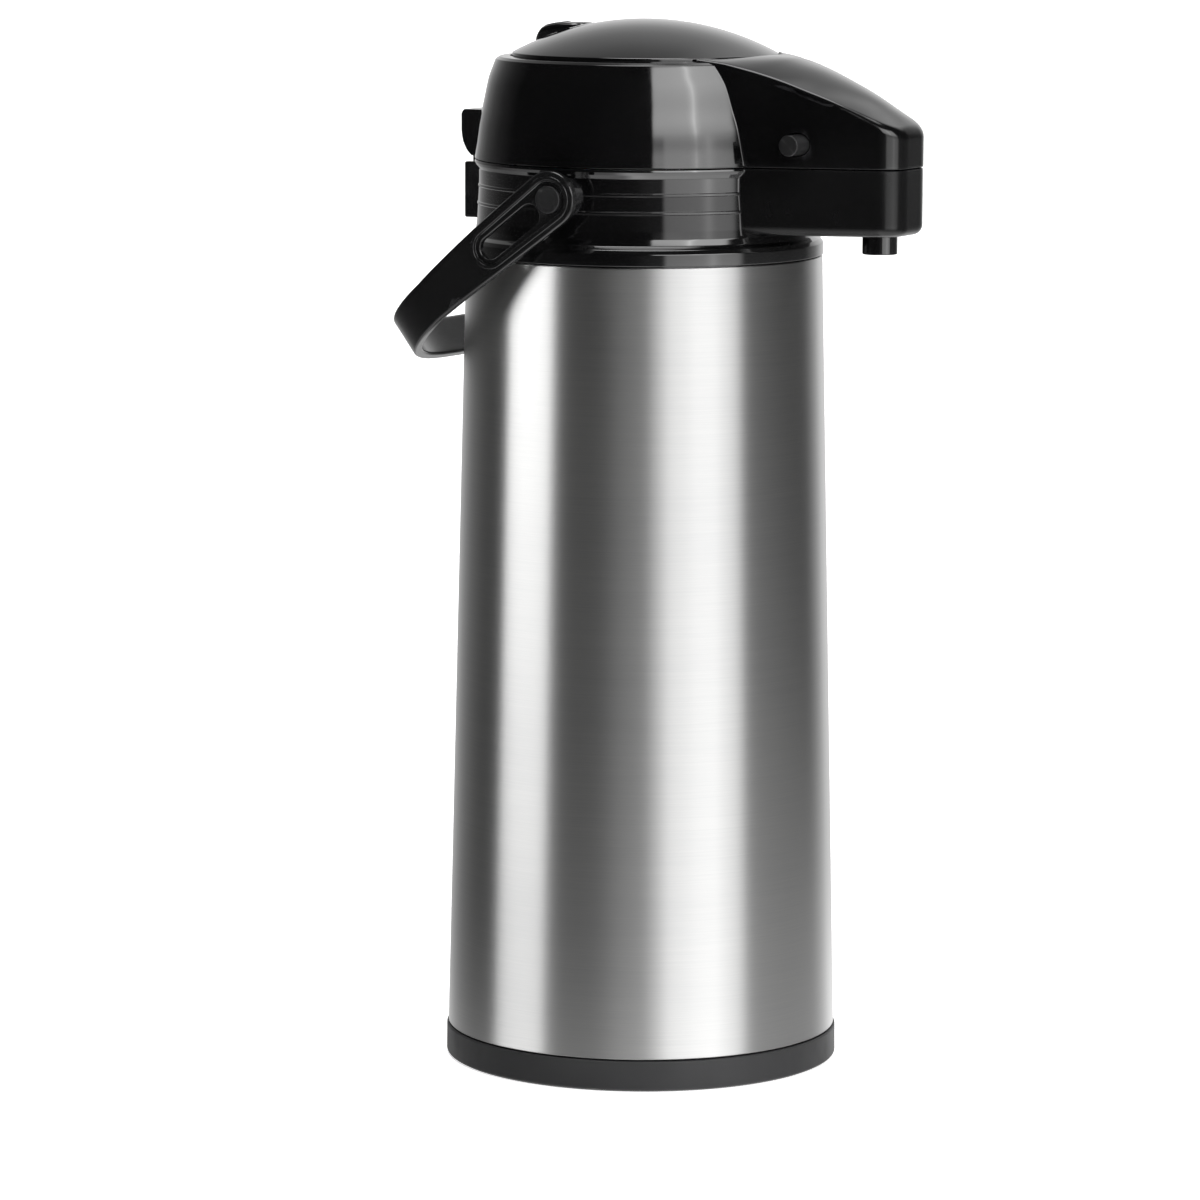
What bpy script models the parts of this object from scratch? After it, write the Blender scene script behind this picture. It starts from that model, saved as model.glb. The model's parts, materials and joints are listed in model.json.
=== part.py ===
"""Thermal coffee airpot: a vacuum flask in a steel body, with a pump head, a carrying bail and a spout.

+X points to the spout, +Z is up, and the origin is the centre of the underside.
All lengths below are in millimetres; MM scales them to Blender's metres.
"""
import math

import bmesh
import bpy
from mathutils import Matrix, Vector

MM = 0.001

# Body
BASE_RADIUS = 67.9
BASE_HEIGHT = 10.6
SHELL_BOTTOM_RADIUS = 67.3
SHELL_TOP_RADIUS = 61.2
SHELL_BOTTOM = 11.0
SHELL_TOP = 279.5
SHELL_THICKNESS = 0.8

# Vacuum flask
FLASK_OUTER_RADIUS = 56.5
FLASK_INNER_RADIUS = 52.0
FLASK_BOTTOM = 12.0
FLASK_MOUTH = 283.5
FLASK_MOUTH_RADIUS = 27.0
TUBE_RADIUS = 4.4
TUBE_BORE = 3.4

# Collar and beak
NECK_RADIUS = 55.7
COLLAR_LIP_RADIUS = 58.2
HEAD_SEAM = 312.0
BEAK_FLOOR = 288.0
BEAK_ROOT_HALF_WIDTH = 27.5
BEAK_ROOT_X = 48.5
BEAK_TAPER = math.radians(16.0)
BEAK_FRONT = 104.0
BEAK_CORNER = 8.0
BEAK_WALL = 2.2
NOZZLE_X = 89.8
PIPE_HEIGHT = 296.0
PIPE_FOOT = 291.2
PIPE_TIP = 287.5
PIPE_RADIUS = 4.2

# Head
CASE_SEAM_RADIUS = 58.35
CASE_LIP_TOP = 348.9
CASE_LIP_RADIUS = 46.2
LID_FLOOR = 305.5
LID_FLOOR_RADIUS = 50.5
EAR_CIRCLE = 49.7
SCREW_CIRCLE = 50.4
POST_CIRCLE = 51.2
AIR_TUBE_X = -14.5
DOME_RADIUS = 45.6
DOME_CROWN = 96.0
DOME_TOP = 360.0
DOME_WALL = 2.4

# Hinge at the back
HINGE_X = -62.0
HINGE_Z = 304.0
HINGE_PIN_RADIUS = 1.5
HINGE_HALF_WIDTH = 8.5
TONGUE_HALF_WIDTH = 5.0

# Lid release buttons in the spout's sides
BUTTON_X = 69.5
BUTTON_Z = 320.3
BUTTON_RADIUS = 3.5
BUTTON_TIP_Y = 29.3

# Carrying bail
PIVOT_Z = 302.3
BAIL_DROOP = math.radians(37.3)
BAIL_REACH = 89.0
BAIL_HALF_SPAN = 67.0
BAIL_SQUARENESS = 4.1
BAIL_THICKNESS = 3.5
BAIL_END_HALF_WIDTH = 7.3
BAIL_HEAD_RADIUS = 9.6

GAP = 0.3
FINE = 40
MEDIUM = 28
SMALL = 16
TINY = 10


def clear_scene():
    for obj in list(bpy.data.objects):
        bpy.data.objects.remove(obj, do_unlink=True)


def new_collection(name):
    collection = bpy.data.collections.new(name)
    bpy.context.scene.collection.children.link(collection)
    return collection


def material(name, colour, roughness, metallic=0.0):
    mat = bpy.data.materials.new(name)
    mat.use_nodes = True
    shader = mat.node_tree.nodes["Principled BSDF"]
    shader.inputs["Base Color"].default_value = (*colour, 1.0)
    shader.inputs["Roughness"].default_value = roughness
    shader.inputs["Metallic"].default_value = metallic
    return mat


clear_scene()
PARTS = new_collection("coffee_airpot")
CUTTERS = new_collection("coffee_airpot_cutters")
GLOSS_BLACK = material("gloss_black_plastic", (0.012, 0.012, 0.013), 0.16)
MATTE_GREY = material("dark_grey_plastic", (0.035, 0.036, 0.038), 0.55)
BRUSHED_STEEL = material("brushed_steel", (0.62, 0.61, 0.59), 0.28, 1.0)
POLISHED_STEEL = material("polished_steel", (0.70, 0.69, 0.68), 0.12, 1.0)
RUBBER = material("black_rubber", (0.02, 0.02, 0.02), 0.8)
SILICONE = material("clear_silicone", (0.62, 0.62, 0.58), 0.5)
WHITE_PLASTIC = material("white_plastic", (0.75, 0.75, 0.73), 0.35)


def link(name, mesh, mat, cutter=False):
    """Wrap a mesh as an object among the parts, or among the cutters."""
    obj = bpy.data.objects.new(name, mesh)
    if cutter:
        CUTTERS.objects.link(obj)
        obj.hide_render = True
        obj.display_type = "WIRE"
        return obj
    PARTS.objects.link(obj)
    obj.data.materials.append(mat)
    obj.data.shade_smooth()
    return obj


def mesh_from(bm, name):
    bmesh.ops.recalc_face_normals(bm, faces=bm.faces)
    mesh = bpy.data.meshes.new(name)
    bm.to_mesh(mesh)
    bm.free()
    return mesh


def turned(name, profile, mat=None, steps=FINE, centre=(0.0, 0.0), cutter=False):
    """Turn a profile of (radius, height) about a vertical axis.

    A profile that starts and ends on the axis is left open; any other one is a closed ring section.
    """
    on_axis = profile[0][0] == 0.0 and profile[-1][0] == 0.0
    mesh = bpy.data.meshes.new(name)
    points = [(radius * MM, 0.0, height * MM) for radius, height in profile]
    count = len(points)
    edges = [(i, i + 1) for i in range(count - 1)]
    if not on_axis:
        edges.append((count - 1, 0))
    mesh.from_pydata(points, edges, [])
    obj = link(name, mesh, mat, cutter)
    obj.location = (centre[0] * MM, centre[1] * MM, 0.0)
    screw = obj.modifiers.new("turn", "SCREW")
    screw.axis = "Z"
    screw.angle = math.tau
    screw.steps = steps
    screw.render_steps = steps
    screw.use_merge_vertices = True
    screw.merge_threshold = 0.00001
    screw.use_smooth_shade = True
    return obj


def box(name, low, high, mat=None, bevel=0.0, cutter=False):
    """A box between two corners, with its edges rounded if asked."""
    bm = bmesh.new()
    size = [(high[i] - low[i]) * MM for i in range(3)]
    middle = [(high[i] + low[i]) * 0.5 * MM for i in range(3)]
    shape = Matrix.Translation(middle) @ Matrix.Diagonal((*size, 1.0))
    bmesh.ops.create_cube(bm, size=1.0, matrix=shape)
    obj = link(name, mesh_from(bm, name), mat, cutter)
    if bevel:
        round_edges(obj, bevel)
    return obj


def rod(name, radius, start, end, mat=None, sides=SMALL, tip_radius=None, cutter=False):
    """A straight round bar, or a cone, from one point to another."""
    start = Vector(start) * MM
    end = Vector(end) * MM
    along = end - start
    turn = along.to_track_quat("Z", "Y").to_matrix().to_4x4()
    tip = radius if tip_radius is None else tip_radius
    bm = bmesh.new()
    bmesh.ops.create_cone(
        bm,
        cap_ends=True,
        segments=sides,
        radius1=radius * MM,
        radius2=tip * MM,
        depth=along.length,
        matrix=Matrix.Translation((start + end) * 0.5) @ turn,
    )
    return link(name, mesh_from(bm, name), mat, cutter)


def baked(curve_obj, name, mat, cutter=False):
    """Turn a curve object into a welded mesh object in the same place."""
    graph = bpy.context.evaluated_depsgraph_get()
    mesh = bpy.data.meshes.new_from_object(curve_obj.evaluated_get(graph))
    place = curve_obj.matrix_world.copy()
    bpy.data.objects.remove(curve_obj, do_unlink=True)
    bm = bmesh.new()
    bm.from_mesh(mesh)
    bmesh.ops.remove_doubles(bm, verts=bm.verts, dist=0.000001)
    bmesh.ops.recalc_face_normals(bm, faces=bm.faces)
    bm.to_mesh(mesh)
    bm.free()
    mesh.materials.clear()
    obj = link(name, mesh, mat, cutter)
    obj.matrix_world = place
    return obj


def plate(name, outline, low, high, mat=None, plane="XY", cutter=False):
    """A flat outline given thickness, lying in the XY plane or standing in the XZ plane."""
    curve = bpy.data.curves.new(name + "_outline", "CURVE")
    curve.dimensions = "2D"
    curve.fill_mode = "BOTH"
    curve.extrude = (high - low) * 0.5 * MM
    spline = curve.splines.new("POLY")
    spline.points.add(len(outline) - 1)
    for point, (across, up) in zip(spline.points, outline):
        point.co = (across * MM, up * MM, 0.0, 1.0)
    spline.use_cyclic_u = True
    holder = bpy.data.objects.new(name + "_outline", curve)
    CUTTERS.objects.link(holder)
    middle = (high + low) * 0.5 * MM
    if plane == "XZ":
        holder.rotation_euler = (math.pi / 2, 0.0, 0.0)
        holder.location = (0.0, middle, 0.0)
    else:
        holder.location = (0.0, 0.0, middle)
    bpy.context.view_layer.update()
    return baked(holder, name, mat, cutter)


def tube(name, points, radius, mat=None, resolution=2, cutter=False):
    """A round wire or pipe along a list of points."""
    curve = bpy.data.curves.new(name + "_path", "CURVE")
    curve.dimensions = "3D"
    curve.bevel_depth = radius * MM
    curve.bevel_resolution = resolution
    curve.use_fill_caps = True
    spline = curve.splines.new("POLY")
    spline.points.add(len(points) - 1)
    for point, place in zip(spline.points, points):
        point.co = (*(Vector(place) * MM), 1.0)
    holder = bpy.data.objects.new(name + "_path", curve)
    CUTTERS.objects.link(holder)
    bpy.context.view_layer.update()
    return baked(holder, name, mat, cutter)


def combine(obj, other, operation):
    """Add, cut or intersect one object with another, which joins the cutters."""
    modifier = obj.modifiers.new(other.name, "BOOLEAN")
    modifier.operation = operation
    modifier.solver = "EXACT"
    modifier.object = other
    return obj


def cut(obj, other):
    return combine(obj, other, "DIFFERENCE")


def join(obj, other):
    return combine(obj, other, "UNION")


def round_edges(obj, width, segments=2, angle=40.0):
    bevel = obj.modifiers.new("rounding", "BEVEL")
    bevel.width = width * MM
    bevel.segments = segments
    bevel.limit_method = "ANGLE"
    bevel.angle_limit = math.radians(angle)
    return obj


def arc(centre, radius, start, end, count):
    """Points on an arc, angles in degrees."""
    points = []
    for i in range(count + 1):
        angle = math.radians(start + (end - start) * i / count)
        points.append((centre[0] + radius * math.cos(angle), centre[1] + radius * math.sin(angle)))
    return points


def helix(radius, start, end, turns, per_turn=12):
    """Points of a coil along Z, with closed-up end turns."""
    count = int(turns * per_turn)
    points = []
    for i in range(count + 1):
        share = i / count
        angle = math.tau * turns * share
        height = start + (end - start) * share
        points.append((radius * math.cos(angle), radius * math.sin(angle), height))
    return points


def dome_height(x):
    """Height of the dome's outer surface at a distance from its axis."""
    return DOME_TOP - DOME_CROWN + math.sqrt(DOME_CROWN ** 2 - x ** 2)


def beak_outline(inset=0.0, root=BEAK_ROOT_X):
    """Plan of the beak: a tapering nose with rounded corners."""
    slope = math.tan(BEAK_TAPER)
    degrees = math.degrees(BEAK_TAPER)
    front = BEAK_FRONT - inset
    corner = BEAK_CORNER - inset
    root_half = BEAK_ROOT_HALF_WIDTH - (root - BEAK_ROOT_X) * slope - inset / math.cos(BEAK_TAPER)
    centre_x = front - corner
    side_at_centre = root_half - (centre_x - root) * slope
    centre_y = side_at_centre - corner / math.cos(BEAK_TAPER)
    near = arc((centre_x, -centre_y), corner, -90.0 + degrees, 0.0, 5)
    upper = [(x, -y) for x, y in reversed(near)]
    near = [(root, -root_half)] + [(x, y) for x, y in near]
    return near + upper + [(root, root_half)]


# --- Base and body -------------------------------------------------------------------------------

def make_base():
    turned("base_cap", [
        (0.0, 4.6), (63.2, 4.6), (63.2, 19.0), (65.8, 19.0), (65.8, BASE_HEIGHT),
        (BASE_RADIUS, BASE_HEIGHT), (BASE_RADIUS, 2.0), (67.2, 0.6), (65.8, 0.0),
        (58.0, 0.0), (57.4, 2.2), (0.0, 2.2),
    ], MATTE_GREY)
    turned("anti_slip_pad", [(0.0, 1.9), (56.4, 1.9), (56.4, 0.0), (0.0, 0.0)], RUBBER, MEDIUM)
    turned("flask_cushion", [(47.0, 11.7), (48.5, 4.9), (18.0, 4.9), (18.0, 11.7)], RUBBER, MEDIUM)


def make_shell():
    inner_top = SHELL_TOP_RADIUS - SHELL_THICKNESS
    inner_bottom = SHELL_BOTTOM_RADIUS - SHELL_THICKNESS
    turned("body_shell", [
        (SHELL_TOP_RADIUS, SHELL_TOP), (SHELL_BOTTOM_RADIUS, SHELL_BOTTOM),
        (inner_bottom, SHELL_BOTTOM), (inner_top, SHELL_TOP),
    ], BRUSHED_STEEL)


def flask_wall(radius, bottom, neck_radius, shoulder_top, steps=4):
    """One flask wall from the mouth to the middle of its floor."""
    corner = 8.0
    shoulder = shoulder_top - 232.0
    points = [(neck_radius, FLASK_MOUTH)]
    for i in range(steps + 1):
        angle = math.pi / 2 * (1 - i / steps)
        across = neck_radius + (radius - neck_radius) * math.cos(angle)
        points.append((across, 232.0 + shoulder * math.sin(angle)))
    for i in range(3):
        angle = math.pi / 2 * i / 2
        drop = corner * (1 - math.sin(angle))
        points.append((radius - corner * (1 - math.cos(angle)), bottom + drop))
    points.append((0.0, bottom))
    return points


def make_flask():
    wall = 1.0
    outer = flask_wall(FLASK_OUTER_RADIUS, FLASK_BOTTOM, 31.0, 262.0)
    outer_inside = flask_wall(FLASK_OUTER_RADIUS - wall, FLASK_BOTTOM + wall, 31.0 - wall, 261.0)
    inner = flask_wall(FLASK_INNER_RADIUS + wall, 18.0, FLASK_MOUTH_RADIUS + wall, 258.0)
    inner_inside = flask_wall(FLASK_INNER_RADIUS, 18.0 + wall, FLASK_MOUTH_RADIUS, 257.0)
    turned("flask_outer_wall", [(0.0, outer_inside[-1][1])] + outer_inside[-2::-1] + outer,
           POLISHED_STEEL, MEDIUM)
    turned("flask_inner_wall", [(0.0, inner_inside[-1][1])] + inner_inside[-2::-1] + inner,
           POLISHED_STEEL, MEDIUM)
    turned("neck_gasket", [(33.4, 285.6), (33.4, 283.8), (27.6, 283.8), (27.6, 285.6)], SILICONE, MEDIUM)


def make_mouth():
    plate_top = 289.6
    mouth = turned("mouth_plate", [
        (40.0, plate_top), (40.0, 285.9), (25.6, 285.9), (25.6, 276.0), (23.6, 276.0),
        (23.6, 286.4), (TUBE_RADIUS + 0.4, 286.4), (TUBE_RADIUS + 0.4, plate_top),
    ], WHITE_PLASTIC, MEDIUM)
    cut(mouth, rod("mouth_air_hole", 4.5, (AIR_TUBE_X, 0, 280), (AIR_TUBE_X, 0, 295), cutter=True))
    turned("dip_tube", [
        (6.5, 290.9), (6.5, 290.0), (TUBE_RADIUS, 290.0), (TUBE_RADIUS, 27.0),
        (TUBE_BORE, 27.0), (TUBE_BORE, 290.9),
    ], WHITE_PLASTIC, SMALL)


def pipe_path(overrun=0.0):
    """Centre line of the outlet pipe: up from the mouth, along the beak and down to the nozzle."""
    bend = 4.3
    rise = [(0.0, PIPE_FOOT - overrun)]
    rise += arc((bend, PIPE_HEIGHT - bend), bend, 180.0, 90.0, 4)
    drop = arc((NOZZLE_X - bend, PIPE_HEIGHT - bend), bend, 90.0, 0.0, 4)
    drop += [(NOZZLE_X, PIPE_TIP - overrun)]
    return [(x, 0.0, z) for x, z in rise + drop]


def make_outlet():
    pipe = tube("outlet_pipe", pipe_path(), PIPE_RADIUS, WHITE_PLASTIC, resolution=3)
    cut(pipe, tube("outlet_pipe_bore", pipe_path(2.0), 3.0, resolution=3, cutter=True))
    turned("pour_nozzle", [
        (7.8, 291.6), (7.8, 290.8), (5.75, 290.8), (5.75, 281.6), (4.6, 281.6), (4.6, 291.6),
    ], GLOSS_BLACK, SMALL, centre=(NOZZLE_X, 0.0))


# --- Collar --------------------------------------------------------------------------------------

def bead(radius, height):
    """A thin raised ring on the neck, from its top edge down."""
    return [(radius, height + 1.1), (radius + 0.45, height + 0.6), (radius + 0.45, height - 0.6),
            (radius + 0.1, height - 1.1)]


def make_collar():
    outside = [(COLLAR_LIP_RADIUS, HEAD_SEAM), (58.3, 311.2), (57.5, 310.2), (55.8, 308.6)]
    outside += bead(NECK_RADIUS, 303.5)
    outside += bead(56.05, 297.4)
    outside += [(56.9, 291.2), (57.5, 288.4), (58.5, 286.6), (60.7, 285.3), (61.6, 283.9), (61.6, 280.0)]
    spigot = [(60.0, 280.0), (60.0, 268.5), (58.2, 268.5), (58.2, 280.8), (56.5, 282.5)]
    inside = [(34.0, 282.5), (34.0, 285.6), (52.5, 285.6), (53.2, 287.0), (53.2, 307.0), (55.4, 309.6),
              (55.6, HEAD_SEAM)]
    collar = turned("collar", outside + spigot + inside, GLOSS_BLACK)
    beak = plate("collar_beak", beak_outline(), BEAK_FLOOR, HEAD_SEAM, cutter=True)
    cut(beak, box("beak_seat", (40.0, -40.0, 280.0), (54.5, 40.0, 320.0), cutter=True))
    round_edges(beak, 2.0, 2, 60.0)
    trim = box("beak_top_trim", (40.0, -40.0, HEAD_SEAM - 2.2), (120.0, 40.0, 330.0), cutter=True)
    cut(beak, trim)
    rim = plate("beak_rim", beak_outline(0.0, 54.5), HEAD_SEAM - 2.6, HEAD_SEAM, cutter=True)
    join(beak, rim)
    join(collar, beak)
    hollow = plate("beak_hollow", beak_outline(BEAK_WALL, 59.5), BEAK_FLOOR + 2.4, 320.0, cutter=True)
    cut(collar, hollow)
    cut(collar, box("pipe_slot", (50.0, -6.0, 290.4), (61.0, 6.0, 303.0), cutter=True))
    cut(collar, rod("nozzle_hole", 6.2, (NOZZLE_X, 0, 280), (NOZZLE_X, 0, 300), cutter=True))
    for y in (-2.7, 2.7):
        hole = rod(f"bracket_hole_{y}", 1.5, (-50.0, y, 293.5), (-60.0, y, 293.5), sides=TINY, cutter=True)
        cut(collar, hole)
    return collar


def make_hinge():
    seat = rod("bracket_seat", 57.5, (0, 0, 285), (0, 0, 315), sides=FINE, cutter=True)
    bracket = box("hinge_bracket", (-66.5, -HINGE_HALF_WIDTH, 289.4), (-50.0, HINGE_HALF_WIDTH, 309.0),
                  GLOSS_BLACK, bevel=0.8)
    cut(bracket, seat)
    inner = TONGUE_HALF_WIDTH + GAP
    cut(bracket, box("bracket_slot", (-70.0, -inner, 298.5), (-50.0, inner, 312.0), cutter=True))
    cut(bracket, box("bracket_pocket", (-70.0, -inner, 288.0), (-61.0, inner, 300.0), cutter=True))
    pin_hole = rod("bracket_pin_hole", HINGE_PIN_RADIUS + GAP, (HINGE_X, -12, HINGE_Z),
                   (HINGE_X, 12, HINGE_Z), sides=TINY, cutter=True)
    cut(bracket, pin_hole)
    rod("hinge_pin", HINGE_PIN_RADIUS, (HINGE_X, -8.3, HINGE_Z), (HINGE_X, 8.3, HINGE_Z),
        POLISHED_STEEL, TINY)
    for side, y in (("left", 2.7), ("right", -2.7)):
        cut(bracket, rod(f"screw_way_{side}", 1.5, (-50.0, y, 293.5), (-65.0, y, 293.5),
                         sides=TINY, cutter=True))
        screw(f"bracket_screw_{side}", (-61.3, y, 293.5), (1.0, 0.0, 0.0), 2.1, 1.2, 7.5)


def screw(name, head_seat, direction, head_radius, shank_radius, length):
    """A pan-head screw with a cross recess; direction runs from the head into the work."""
    seat = Vector(head_seat)
    along = Vector(direction)
    head_height = head_radius * 0.7
    body = rod(name, head_radius, seat, seat - along * head_height, POLISHED_STEEL, TINY,
               tip_radius=head_radius * 0.75)
    shank = rod(name + "_shank", shank_radius, seat - along * 0.3, seat + along * length,
                sides=TINY, cutter=True)
    join(body, shank)
    return body


def make_pivots(side, sign):
    """The stud that carries one bail arm, and the cap screw that keeps the arm on it."""
    stud = rod(f"pivot_stud_{side}", 7.0, (0, sign * 54.0, PIVOT_Z), (0, sign * 64.9, PIVOT_Z), GLOSS_BLACK)
    cut(stud, rod(f"stud_seat_{side}", 57.1, (0, 0, 290), (0, 0, 315), sides=FINE, cutter=True))
    join(stud, rod(f"stud_pin_{side}", 4.0, (0, sign * 60.0, PIVOT_Z), (0, sign * 67.5, PIVOT_Z), cutter=True))
    cut(stud, rod(f"stud_bore_{side}", 1.9, (0, sign * 60.0, PIVOT_Z), (0, sign * 69.0, PIVOT_Z),
                  sides=TINY, cutter=True))
    cap = rod(f"pivot_cap_{side}", 4.8, (0, sign * 67.9, PIVOT_Z), (0, sign * 69.2, PIVOT_Z), GLOSS_BLACK)
    round_edges(cap, 0.35)
    join(cap, rod(f"cap_shank_{side}", 1.6, (0, sign * 61.0, PIVOT_Z), (0, sign * 68.3, PIVOT_Z),
                  sides=TINY, cutter=True))


# --- Carrying bail -------------------------------------------------------------------------------

def bail_plan(offset, count=26):
    """Plan of the bail from one arm to the other, moved outward by an offset; it reaches to -X."""
    power = 2.0 / BAIL_SQUARENESS
    middle = []
    for i in range(count + 1):
        angle = math.pi * i / count
        reach = BAIL_REACH * max(math.sin(angle), 0.0) ** power
        cosine = math.cos(angle)
        span = BAIL_HALF_SPAN * math.copysign(abs(cosine) ** power, cosine)
        middle.append(Vector((-reach, -span)))
    points = [Vector((12.0, -BAIL_HALF_SPAN - offset))]
    for i, point in enumerate(middle):
        before = middle[max(i - 1, 0)]
        after = middle[min(i + 1, count)]
        along = (after - before).normalized()
        if i == 0:
            along = Vector((-1.0, 0.0))
        if i == count:
            along = Vector((1.0, 0.0))
        points.append(point + Vector((-abs(along.y), math.copysign(abs(along.x), point.y))) * offset)
    points.append(Vector((12.0, BAIL_HALF_SPAN + offset)))
    return [(point.x, point.y) for point in points]


def make_bail():
    half = BAIL_THICKNESS / 2
    outline = bail_plan(half) + bail_plan(-half)[::-1]
    bail = plate("carry_handle", outline, -14.0, 14.0, GLOSS_BLACK)
    head = BAIL_HEAD_RADIUS
    side_view = arc((0.0, 0.0), head, 90.0, -90.0, 12)
    side_view += [(-30.0, -head + 0.8), (-60.0, -BAIL_END_HALF_WIDTH), (-110.0, -BAIL_END_HALF_WIDTH)]
    side_view += [(-110.0, BAIL_END_HALF_WIDTH), (-60.0, BAIL_END_HALF_WIDTH), (-30.0, head - 0.8)]
    combine(bail, plate("bail_side_view", side_view, -80.0, 80.0, plane="XZ", cutter=True), "INTERSECT")
    slot = arc((-12.5, 0.0), 3.6, 90.0, -90.0, 6) + arc((-33.0, 0.0), 3.6, -90.0, -270.0, 6)
    cut(bail, plate("bail_slots", slot, -90.0, 90.0, plane="XZ", cutter=True))
    cut(bail, rod("bail_pivot_hole", 4.3, (0, -90, 0), (0, 90, 0), cutter=True))
    for sign in (-1, 1):
        cut(bail, rod(f"bail_cap_seat_{sign}", 5.2, (0, sign * 67.6, 0), (0, sign * 80, 0), cutter=True))
    bail.location = (0.0, 0.0, PIVOT_Z * MM)
    bail.rotation_euler = (0.0, -BAIL_DROOP, 0.0)
    for modifier in bail.modifiers:
        cutter = modifier.object
        bpy.context.view_layer.update()
        cutter.matrix_world = bail.matrix_basis @ cutter.matrix_world


# --- Lid -----------------------------------------------------------------------------------------

def spout_top():
    """Side view of the spout cover: its crown slopes from the head down to the nose."""
    crown = [(44.0, 351.0), (59.0, 347.2), (72.0, 342.4), (84.0, 336.9), (92.0, 332.0), (98.5, 326.9),
             (102.0, 322.6), (104.6, 316.0), (104.8, 300.0)]
    return crown + [(44.0, 300.0)]


def crowned(obj, drop, half_width):
    """Divide a side-view block across its width and lower its top towards the sides."""
    bm = bmesh.new()
    bm.from_mesh(obj.data)
    bm.transform(obj.matrix_world)
    for y in (-18.0, -9.0, 0.0, 9.0, 18.0):
        everything = bm.verts[:] + bm.edges[:] + bm.faces[:]
        bmesh.ops.bisect_plane(bm, geom=everything, plane_co=(0, y * MM, 0), plane_no=(0, 1, 0))
    for vert in bm.verts:
        if vert.co.z > 310.0 * MM:
            vert.co.z -= drop * MM * (vert.co.y / (half_width * MM)) ** 2
    bmesh.ops.triangulate(bm, faces=bm.faces)
    bm.to_mesh(obj.data)
    bm.free()
    obj.matrix_world = Matrix.Identity(4)
    return obj


def make_lid_case():
    seam = HEAD_SEAM + 0.4
    case = turned("lid_case", [
        (47.6, CASE_LIP_TOP), (50.0, 348.0), (51.2, 346.5), (53.7, 339.5), (55.4, 331.3), (56.7, 325.0),
        (57.6, 318.0), (CASE_SEAM_RADIUS, seam), (56.0, seam), (55.2, 320.0), (53.0, 331.0),
        (51.0, 339.0), (49.4, 344.6), (CASE_LIP_RADIUS, 346.6), (CASE_LIP_RADIUS, CASE_LIP_TOP),
    ], GLOSS_BLACK)
    cover = plate("spout_cover", beak_outline(), seam, 356.0, cutter=True)
    side = crowned(plate("spout_side_view", spout_top(), -32.0, 32.0, plane="XZ", cutter=True), 5.0, 20.0)
    combine(cover, side, "INTERSECT")
    hollow = plate("spout_hollow", beak_outline(BEAK_WALL, 44.0), 300.0, 354.0, cutter=True)
    under = [(x - 1.4, z - 2.4) for x, z in spout_top()]
    inner = crowned(plate("spout_inner_view", under, -32.0, 32.0, plane="XZ", cutter=True), 5.0, 20.0)
    combine(hollow, inner, "INTERSECT")
    cut(cover, hollow)
    core = turned("head_core", [
        (0.0, 358.0), (47.4, 358.0), (47.4, 347.4), (50.1, 344.8), (51.7, 339.0), (53.7, 331.0),
        (55.9, 320.0), (56.8, 311.0), (0.0, 311.0),
    ], cutter=True)
    cut(cover, core)
    join(case, cover)
    cut(case, box("head_window", (48.0, -15.0, 300.0), (60.0, 15.0, 330.0), cutter=True))
    hole = rod("button_ways", BUTTON_RADIUS + 0.4, (BUTTON_X, -40, BUTTON_Z), (BUTTON_X, 40, BUTTON_Z),
               cutter=True)
    cut(case, hole)
    join(case, box("spring_rib", (66.0, -1.2, 315.0), (72.0, 1.2, 341.6), cutter=True))
    return case


def make_lid_floor():
    floor = turned("lid_floor", [
        (0.0, LID_FLOOR + 2.6), (LID_FLOOR_RADIUS, LID_FLOOR + 2.6), (LID_FLOOR_RADIUS, LID_FLOOR),
        (0.0, LID_FLOOR),
    ], WHITE_PLASTIC, MEDIUM)
    for number, (x, y) in enumerate(around(EAR_CIRCLE), 1):
        join(floor, rod(f"floor_ear_{number}", 3.2, (x, y, LID_FLOOR), (x, y, LID_FLOOR + 2.6),
                        sides=TINY, cutter=True))
    join(floor, rod("air_tube", 6.5, (AIR_TUBE_X, 0, 291.8), (AIR_TUBE_X, 0, LID_FLOOR + 1.0), cutter=True))
    cut(floor, rod("air_bore", 4.5, (AIR_TUBE_X, 0, 285), (AIR_TUBE_X, 0, 320), cutter=True))
    for number, (x, y) in enumerate(around(SCREW_CIRCLE), 1):
        cut(floor, rod(f"floor_screw_hole_{number}", 1.6, (x, y, 300), (x, y, 312), sides=TINY, cutter=True))
        screw(f"lid_floor_screw_{number}", (x, y, LID_FLOOR - GAP), (0, 0, 1), 2.0, 1.2, 14.0)
    turned("air_seal", [(7.5, 291.5), (7.5, 289.9), (4.6, 289.9), (4.6, 291.5)], SILICONE, SMALL,
           centre=(AIR_TUBE_X, 0.0))
    turned("air_outlet_flap", [(0.0, 309.0), (6.0, 309.0), (6.0, 308.4), (0.0, 308.4)], SILICONE, SMALL,
           centre=(AIR_TUBE_X, 0.0))


def make_bellows():
    folds = 4
    top = 342.4
    bottom = 309.8
    wall = 1.2
    outer = []
    pitch = (top - 1.4 - bottom) / folds
    for i in range(folds):
        peak = top - 1.4 - pitch * i
        outer += [(38.0, peak), (31.5, peak - pitch / 2)]
    inner = [(radius - wall, height) for radius, height in reversed(outer)]
    section = [(38.0, top)] + outer + [(38.0, bottom), (38.0, bottom - 1.4), (26.0, bottom - 1.4),
                                       (26.0, bottom), (36.8, bottom)]
    turned("bellows", section + inner + [(36.8, top - 1.4), (4.0, top - 1.4), (4.0, top)], SILICONE, MEDIUM)
    turned("air_inlet_flap", [(0.0, 340.7), (6.5, 340.7), (6.5, 340.1), (0.0, 340.1)], SILICONE, SMALL)
    tube("return_spring", helix(22.0, 309.4, 339.7, 4.5, 10), 0.9, POLISHED_STEEL, resolution=1)


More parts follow.
